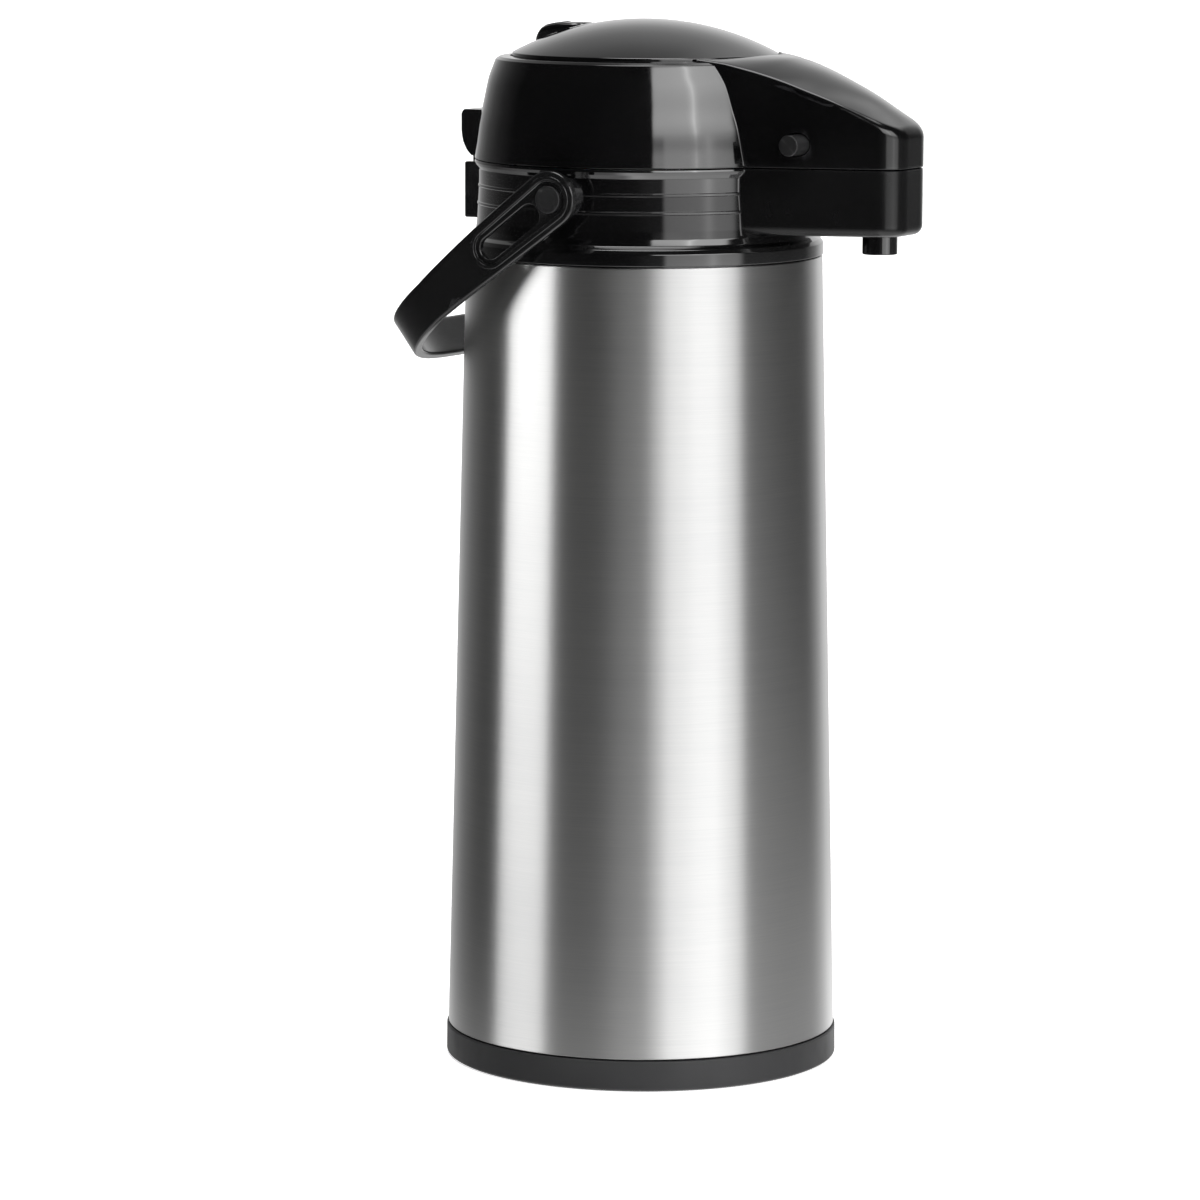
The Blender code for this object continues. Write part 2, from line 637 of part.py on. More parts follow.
def make_dome():
    rings = 6
    outer = [(DOME_RADIUS * i / rings, dome_height(DOME_RADIUS * i / rings)) for i in range(rings + 1)]
    inner_edge = 43.2
    crown = DOME_CROWN - DOME_WALL
    centre = DOME_TOP - DOME_CROWN
    inner = [(inner_edge * i / 5, centre + math.sqrt(crown ** 2 - (inner_edge * i / 5) ** 2))
             for i in range(5, -1, -1)]
    flange = [(DOME_RADIUS, 345.6), (47.2, 345.2), (47.2, 343.2), (inner_edge, 343.2)]
    dome = turned("pump_dome", outer + flange + inner, GLOSS_BLACK, MEDIUM)
    cut(dome, box("lock_slot", (-38.6, -3.0, 344.0), (-26.6, 3.0, 360.0), cutter=True))
    turned("pump_plunger", [
        (0.0, 356.7), (8.0, 356.7), (8.0, 344.6), (34.0, 344.6), (34.0, 342.8), (0.0, 342.8),
    ], WHITE_PLASTIC, MEDIUM)


def sphere(name, radius, centre, segments=32):
    bm = bmesh.new()
    place = Matrix.Translation(Vector(centre) * MM)
    bmesh.ops.create_uvsphere(bm, u_segments=segments, v_segments=segments // 2, radius=radius * MM,
                              matrix=place)
    return link(name, mesh_from(bm, name), None, cutter=True)


def make_lock():
    """The sliding lock on the dome: it runs on the dome's curve, with its foot below the slot."""
    outline = arc((-35.4, 0.0), 6.6, 100.0, 260.0, 10) + arc((-24.4, 0.0), 4.2, -80.0, 80.0, 8)
    lock = plate("dome_lock", outline, 346.0, 361.0, GLOSS_BLACK)
    combine(lock, sphere("lock_top", 20.0, (-30.0, 0.0, 339.3)), "INTERSECT")
    bed_radius = DOME_CROWN + GAP
    cap = arc((0.0, DOME_TOP - DOME_CROWN), bed_radius, 90.0, 57.0, 12)
    bed = turned("lock_bed", [(0.0, cap[0][1])] + cap[1:] + [(0.0, cap[-1][1])], None, FINE, cutter=True)
    cut(lock, bed)
    cut(lock, box("lock_nose_relief", (-50.0, -12.0, 340.0), (-38.2, 12.0, 352.2), cutter=True))
    cut(lock, sphere("lock_thumb_dish", 6.0, (-34.0, 0.0, 362.6), 24))
    join(lock, box("lock_stem", (-33.0, -2.6, 348.0), (-27.0, 2.6, 356.0), cutter=True))
    join(lock, box("lock_foot", (-37.0, -5.5, 347.4), (-23.0, 5.5, 349.2), cutter=True))


def make_lid_hinge():
    side = [(-50.0, 326.5), (-67.0, 326.5), (-67.9, 325.6), (-67.9, 319.8), (-67.3, 316.4), (-65.8, 313.4),
            (-64.0, 311.5), (-50.0, 311.5)]
    arm = plate("lid_hinge_arm", side, -HINGE_HALF_WIDTH, HINGE_HALF_WIDTH, GLOSS_BLACK, plane="XZ")
    cut(arm, rod("arm_seat", 58.85, (0, 0, 310), (0, 0, 327), sides=FINE, tip_radius=56.95, cutter=True))
    half = TONGUE_HALF_WIDTH
    join(arm, box("arm_tongue", (-65.0, -half, HINGE_Z), (-59.3, half, 313.0), cutter=True))
    join(arm, rod("arm_knuckle", 3.4, (HINGE_X, -half, HINGE_Z), (HINGE_X, half, HINGE_Z), cutter=True))
    cut(arm, rod("arm_pin_hole", HINGE_PIN_RADIUS + GAP, (HINGE_X, -12, HINGE_Z), (HINGE_X, 12, HINGE_Z),
                 sides=TINY, cutter=True))
    for side_name, y in (("left", 4.6), ("right", -4.6)):
        cut(arm, rod(f"arm_screw_way_{side_name}", 1.5, (-50.0, y, 320.0), (-63.5, y, 320.0),
                     sides=TINY, cutter=True))
        screw(f"hinge_arm_screw_{side_name}", (-53.9, y, 320.0), (-1.0, 0.0, 0.0), 2.1, 1.2, 8.0)


def make_release(side, sign):
    """One release button: a peg through the spout's side with a latch hook reaching down into the beak."""
    button = rod(f"release_button_{side}", BUTTON_RADIUS, (BUTTON_X, sign * 16.0, BUTTON_Z),
                 (BUTTON_X, sign * BUTTON_TIP_Y, BUTTON_Z), GLOSS_BLACK)
    round_edges(button, 0.6, 1)
    join(button, rod(f"button_flange_{side}", 5.4, (BUTTON_X, sign * 15.4, BUTTON_Z),
                     (BUTTON_X, sign * 17.1, BUTTON_Z), cutter=True))
    arm = sorted((sign * 15.5, sign * 17.0))
    tooth = sorted((sign * 16.0, sign * 17.9))
    join(button, box(f"latch_arm_{side}", (67.5, arm[0], 303.0), (71.5, arm[1], 319.0), cutter=True))
    join(button, box(f"latch_tooth_{side}", (67.4, tooth[0], 302.9), (71.4, tooth[1], 305.5), cutter=True))
    coil = tube(f"release_spring_{side}", helix(3.0, 1.9, 14.7, 3.5, 8), 0.4, POLISHED_STEEL,
                resolution=1)
    coil.rotation_euler = (-sign * math.pi / 2, 0.0, 0.0)
    coil.location = (BUTTON_X * MM, 0.0, BUTTON_Z * MM)


def make_catches(collar):
    """Catch ribs inside the beak for the two latch hooks."""
    for sign in (-1, 1):
        rib = sorted((sign * 18.3, sign * 20.6))
        join(collar, box(f"catch_rib_{sign}", (66.0, rib[0], 307.0), (70.0, rib[1], 309.0), cutter=True))


def around(radius):
    """Four places round the head, for the lid floor's ears, its screws and the posts that take them."""
    return [(radius * math.cos(math.radians(a)), radius * math.sin(math.radians(a))) for a in (50, 130, 230, 310)]


def add_posts(case):
    for number, (x, y) in enumerate(around(POST_CIRCLE), 1):
        join(case, rod(f"case_post_{number}", 2.9, (x, y, 308.6), (x, y, 331.0), sides=TINY, cutter=True))
    for number, (x, y) in enumerate(around(SCREW_CIRCLE), 1):
        cut(case, rod(f"case_post_bore_{number}", 1.5, (x, y, 300.0), (x, y, 321.0), sides=TINY, cutter=True))
    for y in (-4.6, 4.6):
        cut(case, rod(f"case_arm_hole_{y}", 1.5, (-50.0, y, 320.0), (-62.0, y, 320.0), sides=TINY, cutter=True))


def main():
    make_base()
    make_shell()
    make_flask()
    make_mouth()
    make_outlet()
    make_catches(make_collar())
    make_hinge()
    for side, sign in (("left", 1), ("right", -1)):
        make_pivots(side, sign)
        make_release(side, sign)
    make_bail()
    add_posts(make_lid_case())
    make_lid_hinge()
    make_lid_floor()
    make_bellows()
    make_dome()
    make_lock()


main()
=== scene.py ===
import json
import math

import bmesh
import bpy
import numpy as np
from mathutils import Matrix, Vector


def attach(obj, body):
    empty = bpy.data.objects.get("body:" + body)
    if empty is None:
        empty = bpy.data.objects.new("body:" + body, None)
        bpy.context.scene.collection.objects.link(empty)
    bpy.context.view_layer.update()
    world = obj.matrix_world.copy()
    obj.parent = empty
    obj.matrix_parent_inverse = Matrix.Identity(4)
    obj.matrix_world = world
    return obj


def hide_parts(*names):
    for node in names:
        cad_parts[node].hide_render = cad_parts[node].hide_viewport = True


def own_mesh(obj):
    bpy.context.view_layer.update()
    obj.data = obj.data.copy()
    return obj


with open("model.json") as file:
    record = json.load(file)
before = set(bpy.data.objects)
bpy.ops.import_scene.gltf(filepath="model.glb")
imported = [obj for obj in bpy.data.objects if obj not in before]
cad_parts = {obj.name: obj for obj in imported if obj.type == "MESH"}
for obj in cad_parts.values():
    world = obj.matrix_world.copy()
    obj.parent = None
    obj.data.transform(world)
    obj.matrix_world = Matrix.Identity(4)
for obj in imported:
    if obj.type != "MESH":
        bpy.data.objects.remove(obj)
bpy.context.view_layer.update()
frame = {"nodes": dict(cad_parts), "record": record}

# The looks of the coffee airpot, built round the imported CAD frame.
# Lengths are in millimetres in the row frame; MM scales them to metres.
MM = 0.001
NODES = frame["nodes"]
BODY_OF = {n: body for body, members in frame["record"]["behaviour"]["bodies"].items() for n in members}

SEAM = 312.0
PIVOT_Z = 302.3
BAIL_DROOP = math.radians(37.3)
BAIL_REACH = 89.0
BAIL_HALF_SPAN = 67.0
BAIL_SQUARENESS = 4.1
BAIL_THICKNESS = 3.5
BAIL_HEAD = 9.6
DOME_BALL = 96.0
DOME_CENTRE = 264.0
NOSE_TAPER = math.radians(16.0)
NOSE_FRONT = 102.2
NOSE_CORNER = 9.5
NOZZLE_X = 89.8
BUTTON_X = 69.5
BUTTON_Z = 320.3
CAMERA_AZIMUTH = 28.5
STRIP_BEARING = -77.5
STRIP_DISTANCE = 2.0
STRIP_SIZE = (1.27, 1.3)
STRIP_POWER = 26.5
# Strength and centre of the painted glow on the floor, a pool of light that only reflections see.
FLOOR_PAINTED_GLOW = 0.56
FLOOR_PAINTED_GLOW_CENTRE = (0.15, 0.05, 0.0)
BAIL_EDGE = 1.0
AIR_TUBE = (-14.5, 0.0, 0.0)
HINGE_X, HINGE_Z = -62.0, 304.0
BUTTON = (BUTTON_X, 0.0, BUTTON_Z)
NOZZLE = (NOZZLE_X, 0.0, 0.0)
LATCH_HEIGHT = 303.0
EAR_ANGLES = (50, 130, 230, 310)
ROOT_SEARCH = (36.0, 62.0)
EDGE_STEPS = [1 - math.cos(math.radians(a)) for a in (0, 18, 36, 54, 72, 90)]
SIDES = (("left", 1.0), ("right", -1.0))
CAMERA_PITCH = 0.14302
CAMERA_ROLL = math.radians(0.2)
CAMERA_PLACE = (0.9234, -1.7318, 0.4416)
CAMERA_LENS, CAMERA_SENSOR = 171.4, 36.0


# --- Shapes in the flat --------------------------------------------------------------------------

def arc(centre, radius, start, end, count):
    """Points on an arc, angles in degrees."""
    angles = [math.radians(start + (end - start) * i / count) for i in range(count + 1)]
    return [(centre[0] + radius * math.cos(a), centre[1] + radius * math.sin(a)) for a in angles]


def swing(centre, first, last, count):
    """Points round a centre from one spoke to another."""
    sweep = first.angle(last)
    shares = [k / count for k in range(count + 1)]
    return [centre + (first * math.sin((1 - t) * sweep) + last * math.sin(t * sweep)) / math.sin(sweep)
            for t in shares]


def rounded(points, closed=True, segments=4):
    """A polyline whose points may carry a third number, the radius that their corner is rounded to."""
    out = []
    count = len(points)
    for i, point in enumerate(points):
        here = Vector(point[:2])
        radius = point[2] if len(point) > 2 else 0.0
        if radius == 0.0 or (not closed and i in (0, count - 1)):
            out.append(tuple(here))
            continue
        before = Vector(points[i - 1][:2]) - here
        after = Vector(points[(i + 1) % count][:2]) - here
        half = before.angle(after) / 2
        reach = min(radius / math.tan(half), before.length * 0.49, after.length * 0.49)
        radius = reach * math.tan(half)
        before.normalize()
        after.normalize()
        centre = here + (before + after).normalized() * radius / math.sin(half)
        spokes = here + before * reach - centre, here + after * reach - centre
        out += [tuple(p) for p in swing(centre, *spokes, segments)]
    return out


def smooth_line(points, per_span=5):
    """A Catmull-Rom line through the points."""
    pts = [Vector(p) for p in points]
    pts = [pts[0] * 2 - pts[1]] + pts + [pts[-1] * 2 - pts[-2]]
    out = []
    for i in range(1, len(pts) - 2):
        a, b, c, d = pts[i - 1:i + 3]
        for k in range(per_span):
            t = k / per_span
            p = 0.5 * ((2 * b) + (c - a) * t + (2 * a - 5 * b + 4 * c - d) * t ** 2
                       + (3 * b - a - 3 * c + d) * t ** 3)
            out.append(tuple(p))
    out.append(tuple(pts[-2]))
    return out


def lookup(table, x):
    """Straight-line reading of a table of (x, value), held at its ends."""
    return float(np.interp(x, [row[0] for row in table], [row[1] for row in table]))


def crossing(low, high, inside):
    """Where a test that holds at low stops holding on the way to high."""
    for _ in range(30):
        middle = (low + high) / 2
        low, high = (middle, high) if inside(middle) else (low, middle)
    return high


# --- Making meshes -------------------------------------------------------------------------------

def raw(name, verts, faces):
    """An object from points in millimetres, its faces turned outward."""
    mesh = bpy.data.meshes.new(name)
    mesh.from_pydata([tuple(c * MM for c in v) for v in verts], [], faces)
    bm = bmesh.new()
    bm.from_mesh(mesh)
    bmesh.ops.remove_doubles(bm, verts=bm.verts, dist=0.000002)
    bmesh.ops.dissolve_degenerate(bm, edges=bm.edges, dist=0.000002)
    bmesh.ops.recalc_face_normals(bm, faces=bm.faces)
    bm.to_mesh(mesh)
    bm.free()
    obj = bpy.data.objects.new(name, mesh)
    bpy.context.scene.collection.objects.link(obj)
    return obj


def skin(name, loops, closed=False, ring=True):
    """A surface through loops of points of one count.

    The last loop joins the first if it's closed, and otherwise each end has a cap. ring says whether each
    loop runs back to its own start.
    """
    count, size = len(loops), len(loops[0])
    faces = []
    for i in range(count if closed else count - 1):
        j = (i + 1) % count
        for k in range(size if ring else size - 1):
            m = (k + 1) % size
            faces.append((i * size + k, j * size + k, j * size + m, i * size + m))
    if not closed:
        faces += [tuple(range(size)), tuple(range((count - 1) * size, count * size))]
    return raw(name, [tuple(point) for loop in loops for point in loop], faces)


def lathe(name, profile, steps=144, centre=(0.0, 0.0, 0.0), axis="Z", sign=1.0):
    """A turned solid from a profile of (radius, height) about an axis through the centre."""
    loops = []
    for i in range(steps):
        angle = math.tau * i / steps
        loop = []
        for radius, height in profile:
            across, up = radius * math.cos(angle), radius * math.sin(angle)
            place = {"X": (sign * height, across, up), "Y": (across, sign * height, up),
                     "Z": (across, up, height)}[axis]
            loop.append([p + c for p, c in zip(place, centre)])
        loops.append(loop)
    on_axis = abs(profile[0][0]) < 1e-6 and abs(profile[-1][0]) < 1e-6
    return skin(name, loops, closed=True, ring=not on_axis)


def prism(name, outline, low, high, plane="XY"):
    """An outline given thickness, in the XY plane or standing in the XZ plane."""
    return skin(name, [[(a, b, level) if plane == "XY" else (a, level, b) for a, b in outline]
                       for level in (low, high)])


def block(name, low, high):
    corners = [(low[0], low[1]), (high[0], low[1]), (high[0], high[1]), (low[0], high[1])]
    return prism(name, corners, low[2], high[2])


def rod(name, radius, start, end, sides=48):
    """A plain round bar along one axis, used inside other shapes."""
    start, end = Vector(start), Vector(end)
    turn = (end - start).to_track_quat("Z", "Y").to_matrix()
    spokes = [turn @ Vector((x, y, 0.0)) for x, y in arc((0, 0), radius, 0, 360, sides)[:-1]]
    return skin(name, [[centre + spoke for spoke in spokes] for centre in (start, end)])


def swept(name, path, section):
    """A section of (normal, binormal) offsets carried along a path of points."""
    path = [Vector(p) for p in path]
    across = None
    loops = []
    for i, point in enumerate(path):
        along = (path[min(i + 1, len(path) - 1)] - path[max(i - 1, 0)]).normalized()
        if across is None:
            guess = Vector((0, 0, 1)) if abs(along.z) < 0.9 else Vector((0, 1, 0))
            across = guess.cross(along).normalized()
        across = (across - along * across.dot(along)).normalized()
        up = along.cross(across)
        loops.append([point + across * a + up * b for a, b in section])
    return skin(name, loops)


def baked(obj):
    """Apply an object's modifiers."""
    graph = bpy.context.evaluated_depsgraph_get()
    graph.update()
    mesh = bpy.data.meshes.new_from_object(obj.evaluated_get(graph))
    obj.modifiers.clear()
    obj.data = mesh
    return obj


def carve(obj, *others, operation="DIFFERENCE"):
    """Cut, add or intersect other objects, which are used up."""
    for other in others:
        modifier = obj.modifiers.new("carve", "BOOLEAN")
        modifier.operation = operation
        modifier.solver = "EXACT"
        modifier.object = other
    baked(obj)
    for other in others:
        bpy.data.objects.remove(other, do_unlink=True)
    return obj


def unite(obj, *others):
    return carve(obj, *others, operation="UNION")


def soften(obj, width, segments=3, angle=35.0):
    bevel = obj.modifiers.new("soften", "BEVEL")
    bevel.width = width * MM
    bevel.segments = segments
    bevel.limit_method = "ANGLE"
    bevel.angle_limit = math.radians(angle)
    return baked(obj)


def moved(obj, matrix):
    obj.data.transform(matrix)
    return obj


def gathered(obj, *others):
    """One object holding several closed shells that overlap as one moulding."""
    bm = bmesh.new()
    for each in (obj, *others):
        bm.from_mesh(each.data)
    bm.to_mesh(obj.data)
    bm.free()
    for other in others:
        bpy.data.objects.remove(other, do_unlink=True)
    return obj


# --- Finishes ------------------------------------------------------------------------------------

def add_node(tree, kind, sockets=(), **settings):
    """A shader node with its settings, and each socket given a number, a colour or the output that feeds it."""
    made = tree.nodes.new(kind)
    for key, value in settings.items():
        setattr(made, key, value)
    for key, value in dict(sockets).items():
        if isinstance(value, bpy.types.NodeSocket):
            tree.links.new(value, made.inputs[key])
        else:
            made.inputs[key].default_value = value
    return made


class Finish:
    """A node material built step by step on the object's own coordinates."""

    def __init__(self, name, metallic=0.0, **fixed):
        self.material = bpy.data.materials.new(name)
        self.material.use_nodes = True
        self.tree = self.material.node_tree
        self.shader = self.tree.nodes["Principled BSDF"]
        self.shader.inputs["Metallic"].default_value = metallic
        for socket, value in fixed.items():
            self.shader.inputs[socket.replace("_", " ")].default_value = value
        self.coordinates = self.node("ShaderNodeTexCoord").outputs["Object"]

    def node(self, kind, sockets=(), **settings):
        return add_node(self.tree, kind, sockets, **settings)

    def join(self, output, target):
        self.tree.links.new(output, target)

    def noise(self, scale, detail=3.0, rough=0.5, stretch=(1.0, 1.0, 1.0)):
        place = self.node("ShaderNodeMapping", {"Scale": stretch, "Vector": self.coordinates})
        return self.node("ShaderNodeTexNoise", {
            "Scale": scale, "Detail": detail, "Roughness": rough,
            "Vector": place.outputs["Vector"]}).outputs["Fac"]

    def spread(self, factor, low, high, low_at=0.3, high_at=0.7):
        """A number that runs from low to high as a factor runs between two marks."""
        return self.node("ShaderNodeMapRange", {
            "From Min": low_at, "From Max": high_at, "To Min": low, "To Max": high, "Value": factor},
            interpolation_type="SMOOTHSTEP").outputs["Result"]

    def math(self, operation, a, b):
        return self.node("ShaderNodeMath", {0: a, 1: b}, operation=operation).outputs[0]

    def colour(self, factor, first, second, low_at=0.3, high_at=0.7):
        made = self.node("ShaderNodeValToRGB", {"Fac": factor})
        made.color_ramp.interpolation = "EASE"
        for element, place, shade in zip(made.color_ramp.elements, (low_at, high_at), (first, second)):
            element.position = place
            element.color = (*shade, 1.0)
        return made.outputs["Color"]

    def mix(self, factor, first, second):
        return self.node("ShaderNodeMix", {"Factor": factor, "A": first, "B": (*second, 1.0)},
                         data_type="RGBA").outputs["Result"]

    def bump(self, height, strength, distance, under=None):
        sockets = {"Strength": strength, "Distance": distance, "Height": height}
        if under is not None:
            sockets["Normal"] = under
        return self.node("ShaderNodeBump", sockets).outputs["Normal"]

    def edges(self, low_at=0.515, high_at=0.56):
        """Bright on the convex edges, where handling wears a moulding."""
        made = self.node("ShaderNodeNewGeometry")
        return self.spread(made.outputs["Pointiness"], 0.0, 1.0, low_at, high_at)

    def done(self, colour, roughness, normal=None):
        self.join(colour, self.shader.inputs["Base Color"])
        self.join(roughness, self.shader.inputs["Roughness"])
        if normal is not None:
            self.join(normal, self.shader.inputs["Normal"])
        return self.material


def moulded(name, dark, light, worn, low_rough, high_rough, grain, peel=0.35, **fixed):
    """Moulded plastic: faint colour drift, polished and rubbed patches, edge wear and orange peel."""
    f = Finish(name, **fixed)
    drift = f.noise(22.0, 2.0)
    body = f.colour(drift, dark, light)
    rubbed = f.math("MULTIPLY", f.edges(), f.spread(f.noise(160.0, 4.0, 0.6), 0.25, 1.0))
    colour = f.mix(rubbed, body, worn)
    smudge = f.noise(38.0, 5.0, 0.62, (1.0, 1.0, 0.6))
    roughness = f.math("ADD", f.spread(smudge, low_rough, high_rough, 0.35, 0.68),
                       f.math("MULTIPLY", rubbed, 0.06))
    normal = f.bump(f.noise(190.0, 2.0), peel, 0.00003)
    normal = f.bump(f.noise(2600.0, 2.0), grain, 0.00002, normal)
    return f.done(colour, roughness, normal)


def brushed(name, dark, light, low_rough, high_rough, anisotropy=0.9):
    """Steel brushed round the body: long fine scratches, a slow drift of tone and a few deeper lines."""
    f = Finish(name, metallic=1.0, Anisotropic=anisotropy, Anisotropic_Rotation=0.25)
    tangent = f.node("ShaderNodeTangent", direction_type="RADIAL", axis="Z")
    f.join(tangent.outputs["Tangent"], f.shader.inputs["Tangent"])
    fine = f.noise(60.0, 4.0, 0.7, (0.5, 0.5, 60.0))
    coarse = f.noise(24.0, 3.0, 0.6, (0.5, 0.5, 22.0))
    drift = f.noise(9.0, 2.0, 0.5, (1.0, 1.0, 2.5))
    streaks = f.math("ADD", f.math("MULTIPLY", fine, 0.86), f.math("MULTIPLY", coarse, 0.14))
    tone = f.math("ADD", f.math("MULTIPLY", streaks, 0.7), f.math("MULTIPLY", drift, 0.3))
    colour = f.colour(tone, dark, light, 0.36, 0.64)
    roughness = f.spread(streaks, low_rough, high_rough, 0.3, 0.7)
    normal = f.bump(fine, 0.25, 0.000012)
    normal = f.bump(coarse, 0.08, 0.00001, normal)
    return f.done(colour, roughness, normal)


def plain_metal(name, dark, light, low_rough, high_rough):
    """Drawn or turned steel with fine marks and faint tarnish."""
    f = Finish(name, metallic=1.0)
    marks = f.noise(900.0, 3.0, 0.6, (1.0, 1.0, 3.0))
    colour = f.colour(f.noise(70.0, 4.0, 0.6), dark, light)
    return f.done(colour, f.spread(marks, low_rough, high_rough), f.bump(marks, 0.15, 0.00001))


GLOSS = moulded("gloss_black_moulding", (0.0018, 0.0018, 0.002), (0.0034, 0.0034, 0.0036),
                (0.014, 0.014, 0.015), 0.05, 0.10, 0.05, 0.20, Specular_IOR_Level=0.95, IOR=1.52)
SEMI = moulded("half_gloss_black_moulding", (0.0018, 0.0018, 0.002), (0.0034, 0.0034, 0.0036),
               (0.014, 0.014, 0.015), 0.11, 0.17, 0.07, 0.22, Specular_IOR_Level=0.55, IOR=1.5)
DULL = moulded("dull_black_moulding", (0.0024, 0.0024, 0.0026), (0.0042, 0.0042, 0.0044),
               (0.015, 0.015, 0.016), 0.19, 0.28, 0.10, 0.25, Specular_IOR_Level=0.32, IOR=1.5)
SATIN = moulded("satin_black_moulding", (0.004, 0.004, 0.0042), (0.0068, 0.0068, 0.007),
                (0.020, 0.020, 0.021), 0.13, 0.20, 0.12, 0.28, IOR=1.5)
SOFT_BLACK = moulded("soft_black_moulding", (0.010, 0.010, 0.0105), (0.015, 0.015, 0.0155),
                     (0.035, 0.035, 0.035), 0.36, 0.48, 0.3, 0.3, IOR=1.48)
MATTE = moulded("matte_grey_moulding", (0.020, 0.020, 0.021), (0.028, 0.028, 0.029),
                (0.055, 0.055, 0.055), 0.46, 0.60, 0.35, 0.3, Specular_IOR_Level=0.3, IOR=1.48)
STEEL = brushed("brushed_steel_body", (0.43, 0.43, 0.43), (0.47, 0.47, 0.465), 0.345, 0.375, 0.94)
BRIGHT = plain_metal("bright_steel", (0.62, 0.61, 0.60), (0.72, 0.71, 0.70), 0.10, 0.24)
RUBBER = moulded("black_rubber_pad", (0.014, 0.014, 0.014), (0.022, 0.022, 0.022),
                 (0.03, 0.03, 0.03), 0.7, 0.88, 0.5, 0.5)
WHITE = moulded("white_food_plastic", (0.70, 0.70, 0.675), (0.78, 0.78, 0.76),
                (0.84, 0.84, 0.82), 0.28, 0.42, 0.12, 0.25, Subsurface_Weight=0.08, Subsurface_Scale=0.004)
SILICONE = moulded("milky_silicone", (0.55, 0.55, 0.52), (0.64, 0.64, 0.61),
                   (0.70, 0.70, 0.68), 0.42, 0.58, 0.15, 0.3, Subsurface_Weight=0.25, Subsurface_Scale=0.003)


def stand_in(obj, node, material, crease=32.0, weighted=True):
    """Give a built piece its finish and let it stand for its CAD node, alone or with others, on its body."""
    obj.data.materials.clear()
    obj.data.materials.append(material)
    obj.data.shade_smooth()
    obj.data.set_sharp_from_angle(angle=math.radians(crease))
    if weighted:
        normals = obj.modifiers.new("normals", "WEIGHTED_NORMAL")
        normals.keep_sharp = True
        normals.weight = 60
    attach(obj, BODY_OF[node])
    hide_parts(node)
    return obj


def turned(node, profile, material, steps, centre=(0.0, 0.0, 0.0), axis="Z", sign=1.0, closed=True, segments=4):
    """A turned piece that stands for its CAD node."""
    form = lathe(node + "_form", rounded(profile, closed, segments), steps, centre, axis, sign)
    return stand_in(form, node, material)


def refinish(node, material):
    """Keep a CAD node as it is, with a better material."""
    kept = NODES[node]
    kept.data.materials.clear()
    kept.data.materials.append(material)


# --- Body ----------------------------------------------------------------------------------------

def make_body():
    turned("base_cap", [
        (0.0, 4.6), (63.2, 4.6, 0.5), (63.2, 19.0, 0.4), (65.8, 19.0, 0.3), (65.8, 10.6, 0.2),
        (67.9, 10.6, 0.55), (67.95, 0.7, 0.9), (66.6, 0.0, 0.6), (58.0, 0.0, 0.5), (57.4, 2.2, 0.3),
        (0.0, 2.2)], MATTE, 240, closed=False)
    grooves = [(0.0, 1.9), (56.2, 1.9, 0.3), (56.2, 0.0, 0.6)]
    for radius in (50.0, 43.0, 36.0, 29.0, 22.0, 15.0):
        grooves += [(radius, 0.0, 0.2), (radius - 0.6, 0.7, 0.2), (radius - 2.4, 0.7, 0.2),
                    (radius - 3.0, 0.0, 0.2)]
    turned("anti_slip_pad", grooves + [(0.0, 0.0)], RUBBER, 144, closed=False, segments=2)
    shell = lathe("body_shell_form", rounded([
        (61.25, 279.5, 0.7), (67.35, 11.05, 0.45), (66.5, 11.05, 0.1), (60.4, 279.5, 0.1)], segments=6), 288)
    bm = bmesh.new()
    bm.from_mesh(shell.data)
    tall = [e for e in bm.edges if abs(e.verts[0].co.z - e.verts[1].co.z) > 0.2]
    bmesh.ops.subdivide_edges(bm, edges=tall, cuts=11, use_grid_fill=True)
    bm.to_mesh(shell.data)
    bm.free()
    stand_in(shell, "body_shell", STEEL)
    for node, material in (("flask_cushion", RUBBER), ("flask_outer_wall", BRIGHT), ("flask_inner_wall", BRIGHT),
                           ("neck_gasket", SILICONE)):
        refinish(node, material)


